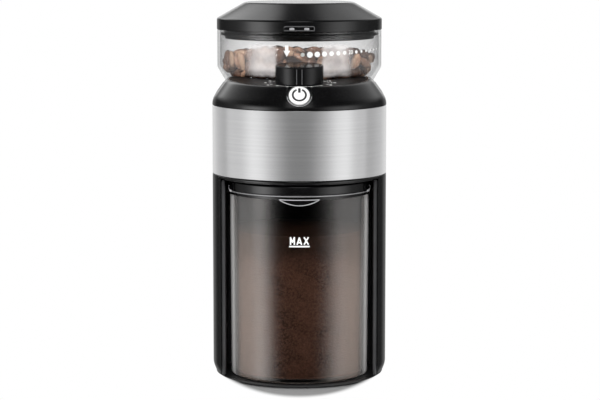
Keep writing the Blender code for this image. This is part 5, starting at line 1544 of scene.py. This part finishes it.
@dataclass
class Studio:
    """Camera, surrounding light, soft lamps and a pale floor, in metres."""

    elevation: float = radians(7.2)
    distance: float = 1.552
    target: Place = (0.0, -0.024, 0.130)
    lens: float = 125.2
    shift: float = 0.0011
    level_ring: Ring = (
        (-180, 0.35), (-155, 0.28), (-142, 0.06), (-118, 0.16), (-95, 0.40), (-80, 1.0), (-68, 2.6), (-55, 3.2),
        (-46, 2.2), (-36, 0.7), (-26, 0.18), (-12, 0.06), (0, 0.08), (14, 0.07), (26, 0.18), (38, 0.8), (50, 1.5),
        (62, 1.7), (74, 1.2), (90, 0.40), (115, 0.14), (142, 0.06), (155, 0.28), (180, 0.35))
    raised_ring: Ring = (
        (-180, 0.10), (-168, 0.22), (-158, 1.9), (-146, 2.1), (-138, 1.1), (-120, 0.6), (-100, 0.30), (-70, 0.06),
        (-20, 0.06), (-13, 1.1), (13, 1.1), (20, 0.06), (70, 0.06), (100, 0.25), (120, 0.5), (138, 0.8), (146, 1.0),
        (158, 0.9), (168, 0.22), (180, 0.10))
    steel_ring: Ring = (
        (-180, 1.0), (-150, 0.95), (-109, 0.66), (-106, 1.0), (-74, 1.15), (-66, 1.45), (-50, 1.3), (-34, 0.72),
        (-12, 0.36), (12, 0.36), (34, 0.72), (50, 1.3), (66, 1.45), (74, 1.15), (94, 1.0), (97, 0.66), (150, 0.95),
        (180, 1.0))
    scrim_radius: float = 1.2
    # The painted shadow: an oval of half width, half length and centre along Y, kept in front of shadow_back, with
    # edges softened over shadow_blur.
    shadow: Place = (0.0714, 0.200, 0.090)
    shadow_back: float = -0.040
    shadow_blur: float = 0.015
    steel: str = "steel_band_fine"

    def build(self) -> None:
        """Camera, world, two broad lamps that leave no mirror image, and the floor."""
        data = bpy.data.cameras.new("camera")
        data.lens, data.sensor_width, data.shift_x = self.lens, 36.0, self.shift
        data.clip_start, data.clip_end = 0.05, 50.0
        camera = bpy.context.scene.camera = shown("camera", data)
        back = Vector((0, -cos(self.elevation), sin(self.elevation)))
        camera.location = Vector(self.target) + back * self.distance
        camera.rotation_euler = (-back).to_track_quat("-Z", "Y").to_euler()
        bpy.context.scene.world = Graph.of(bpy.data.worlds.new("studio"), "World", self._sky)
        for name, place, size, power in (("front_fill", (0.0, -1.3, 1.15), 1.2, 24.0),
                                         ("top_fill", (0.0, 0.1, 1.5), 1.0, 14.0)):
            self._lamp(name, place, 0.15, size, power).visible_glossy = False
        floor = Solid.prism(arc((0, 0), 3000, 0, 2 * pi, 96)[:-1], -10, 0)
        self._stage("floor", floor, self._ground).visible_glossy = False
        bpy.context.scene.view_settings.view_transform = "Standard"

    @staticmethod
    def _lamp(name: str, place: Place, aim: float, size: float, power: float) -> bpy.types.Object:
        """A round area lamp that looks at a height on the Z axis."""
        data = bpy.data.lights.new(name, "AREA")
        data.shape, data.size, data.energy = "DISK", size, power
        lamp = shown(name, data)
        lamp.location = place
        lamp.rotation_euler = (Vector((0, 0, aim)) - Vector(place)).to_track_quat("-Z", "Y").to_euler()
        return lamp

    @staticmethod
    def _stage(name: str, solid: Solid, fill: Callable[[Graph], Value]) -> bpy.types.Object:
        """A piece of the set, which isn't part of the product."""
        solid.mesh.materials.append(Graph.of(bpy.data.materials.new(name), "Material", fill))
        thing = shown(name, solid.mesh)
        return thing

    @staticmethod
    def _light_only(thing: bpy.types.Object, lit: list[bpy.types.Object]) -> None:
        """Lets only some pieces take up a thing's light."""
        thing.light_linking.receiver_collection = bpy.data.collections.new(thing.name + "_lights")
        for piece in lit:
            thing.light_linking.receiver_collection.objects.link(piece)

    @staticmethod
    def _ring_light(where: Value, stops: Ring) -> Value:
        """A level that changes with the direction round the Z axis.

        Args:
            where: a direction.
            stops: (degrees, level) pairs from -180 to 180, 0 degrees at the front, with levels up to 4.

        Returns:
            The level in that direction.
        """
        turn = where.axis("X").turn(0.0 - where.axis("Y"))
        shades = [((angle + 180) / 360, level / 4) for angle, level in stops]
        ramp = where.graph.node("ShaderNodeValToRGB", {"stops": shades}, {0: turn / (2 * pi) + 0.5})
        return where.graph.node("ShaderNodeSeparateColor", {}, {0: ramp}) * 4.0

    def _sky(self, graph: Graph) -> Value:
        """White to the camera; to the object, tall soft panels at its sides and lower ones behind it."""
        ray = graph.node("ShaderNodeTexCoord", out="Generated")
        z, path = ray.axis("Z"), graph.node("ShaderNodeLightPath", out="Is Camera Ray")
        level = self._ring_light(ray, self.level_ring).least(self._ring_light(ray, self.steel_ring))
        up, overhead = z.step(0.14, 0.42), z.step(0.86, 0.93)
        ring = level * (1.0 - up) + self._ring_light(ray, self.raised_ring) * up
        behind = ray.axis("Y").step(0.93, 0.97) * z.step(0.0, 0.05)
        light = ring * (1.0 - overhead) + 0.07 * overhead + 0.8 * behind
        return graph.node("ShaderNodeBackground", {}, {"Color": WHITE, "Strength": light + path * (1.0 - light)})

    def _scrim(self, name: str, radius: float, wanted: Ring, other: Ring, lit: list[bpy.types.Object]) -> None:
        """A translucent wall round the set whose glow only some pieces take up.

        Args:
            name: what it is called.
            radius: how far out it stands.
            wanted: the light that these pieces are to see round them.
            other: the ring that the world shares with it, so that the wall adds only the rest.
            lit: the pieces.
        """

        def glow(graph: Graph) -> Value:
            """The light that is missing, over a see-through wall."""
            where = graph.node("ShaderNodeTexCoord", out="Object")
            rest = (self._ring_light(where, wanted) - self._ring_light(where, other)).most(0.0)
            shine = rest * (1.0 - where.axis("Z").step(0.28, 0.62))
            light = graph.node("ShaderNodeEmission", {}, {"Color": WHITE, "Strength": shine})
            return graph.node("ShaderNodeAddShader", {}, {0: light, 1: graph.node("ShaderNodeBsdfTransparent")})

        wall = Solid.rod(radius / MM, -900, 1100, 96)
        with edited(wall.mesh) as shape:
            bmesh.ops.delete(shape, geom=[face for face in shape.faces if len(face.verts) > 4], context="FACES_ONLY")
        scrim = self._stage(name, wall, glow)
        for kind in ("camera", "diffuse", "transmission", "shadow"):
            setattr(scrim, f"visible_{kind}", False)
        self._light_only(scrim, lit)

    def _ground(self, graph: Graph) -> Value:
        """Paints a shadow for the camera in an oval in front of the grinder, over the floor's real shading, and fades
        into white.
        """
        where = graph.node("ShaderNodeTexCoord", out="Object")
        across, along, front = self.shadow
        oval = where.vector("SUBTRACT", (0.0, front, 0.0)).vector("MULTIPLY", (1 / across, 1 / along, 1.0))
        beyond = where.axis("Y").step(self.shadow_back - self.shadow_blur, self.shadow_back + self.shadow_blur)
        path = graph.node("ShaderNodeLightPath", out="Is Camera Ray")
        fade = oval.vector("LENGTH", out="Value").step(0.965, 1.035).most(beyond) * path
        # Painted shadow: inside the oval the camera sees a darker floor colour.
        lit = graph.node("ShaderNodeBsdfDiffuse", {}, {"Color": path.blend((0.8, 0.8, 0.8), (0.285, 0.285, 0.285))})
        return fade.mix(lit, graph.node("ShaderNodeEmission", {}, {"Color": WHITE, "Strength": 1.0}))

    def hang_scrims(self, pieces: list[bpy.types.Object]) -> None:
        """A lamp for the beans alone, one scrim for the brushed band and one for all the other pieces."""
        self._light_only(self._lamp("bean_lamp", (-0.5, -1.0, 0.9), 0.2, 0.35, 20.0), [bpy.data.objects["beans"]])
        band = [thing for thing in pieces if thing.name == self.steel]
        rest = [thing for thing in pieces if thing.name != self.steel]
        self._scrim("band_scrim", self.scrim_radius, self.steel_ring, self.level_ring, band)
        self._scrim("gloss_scrim", self.scrim_radius + 0.1, self.level_ring, self.steel_ring, rest)


def clear_startup() -> None:
    """Removes what the startup file holds and the frame does not."""
    ours = set(frame["nodes"].values()) | set(frame["bodies"].values())
    for thing in list(bpy.data.objects):
        if thing not in ours:
            bpy.data.objects.remove(thing, do_unlink=True)


def main() -> None:
    """Builds the studio and every sub-assembly in order."""
    logging.basicConfig(level=logging.INFO, format="%(message)s")
    clear_startup()
    studio = Studio()
    studio.build()
    for part in (Base(), Housing(), TopCover(), PowerButton(), Dial(), Hopper(), Lid(), Jar(), Gland(), Mechanism()):
        part.build()
    studio.hang_scrims([thing for thing in bpy.data.objects if thing.type == "MESH" and thing.name != "floor"])


if __name__ == "__main__":
    main()
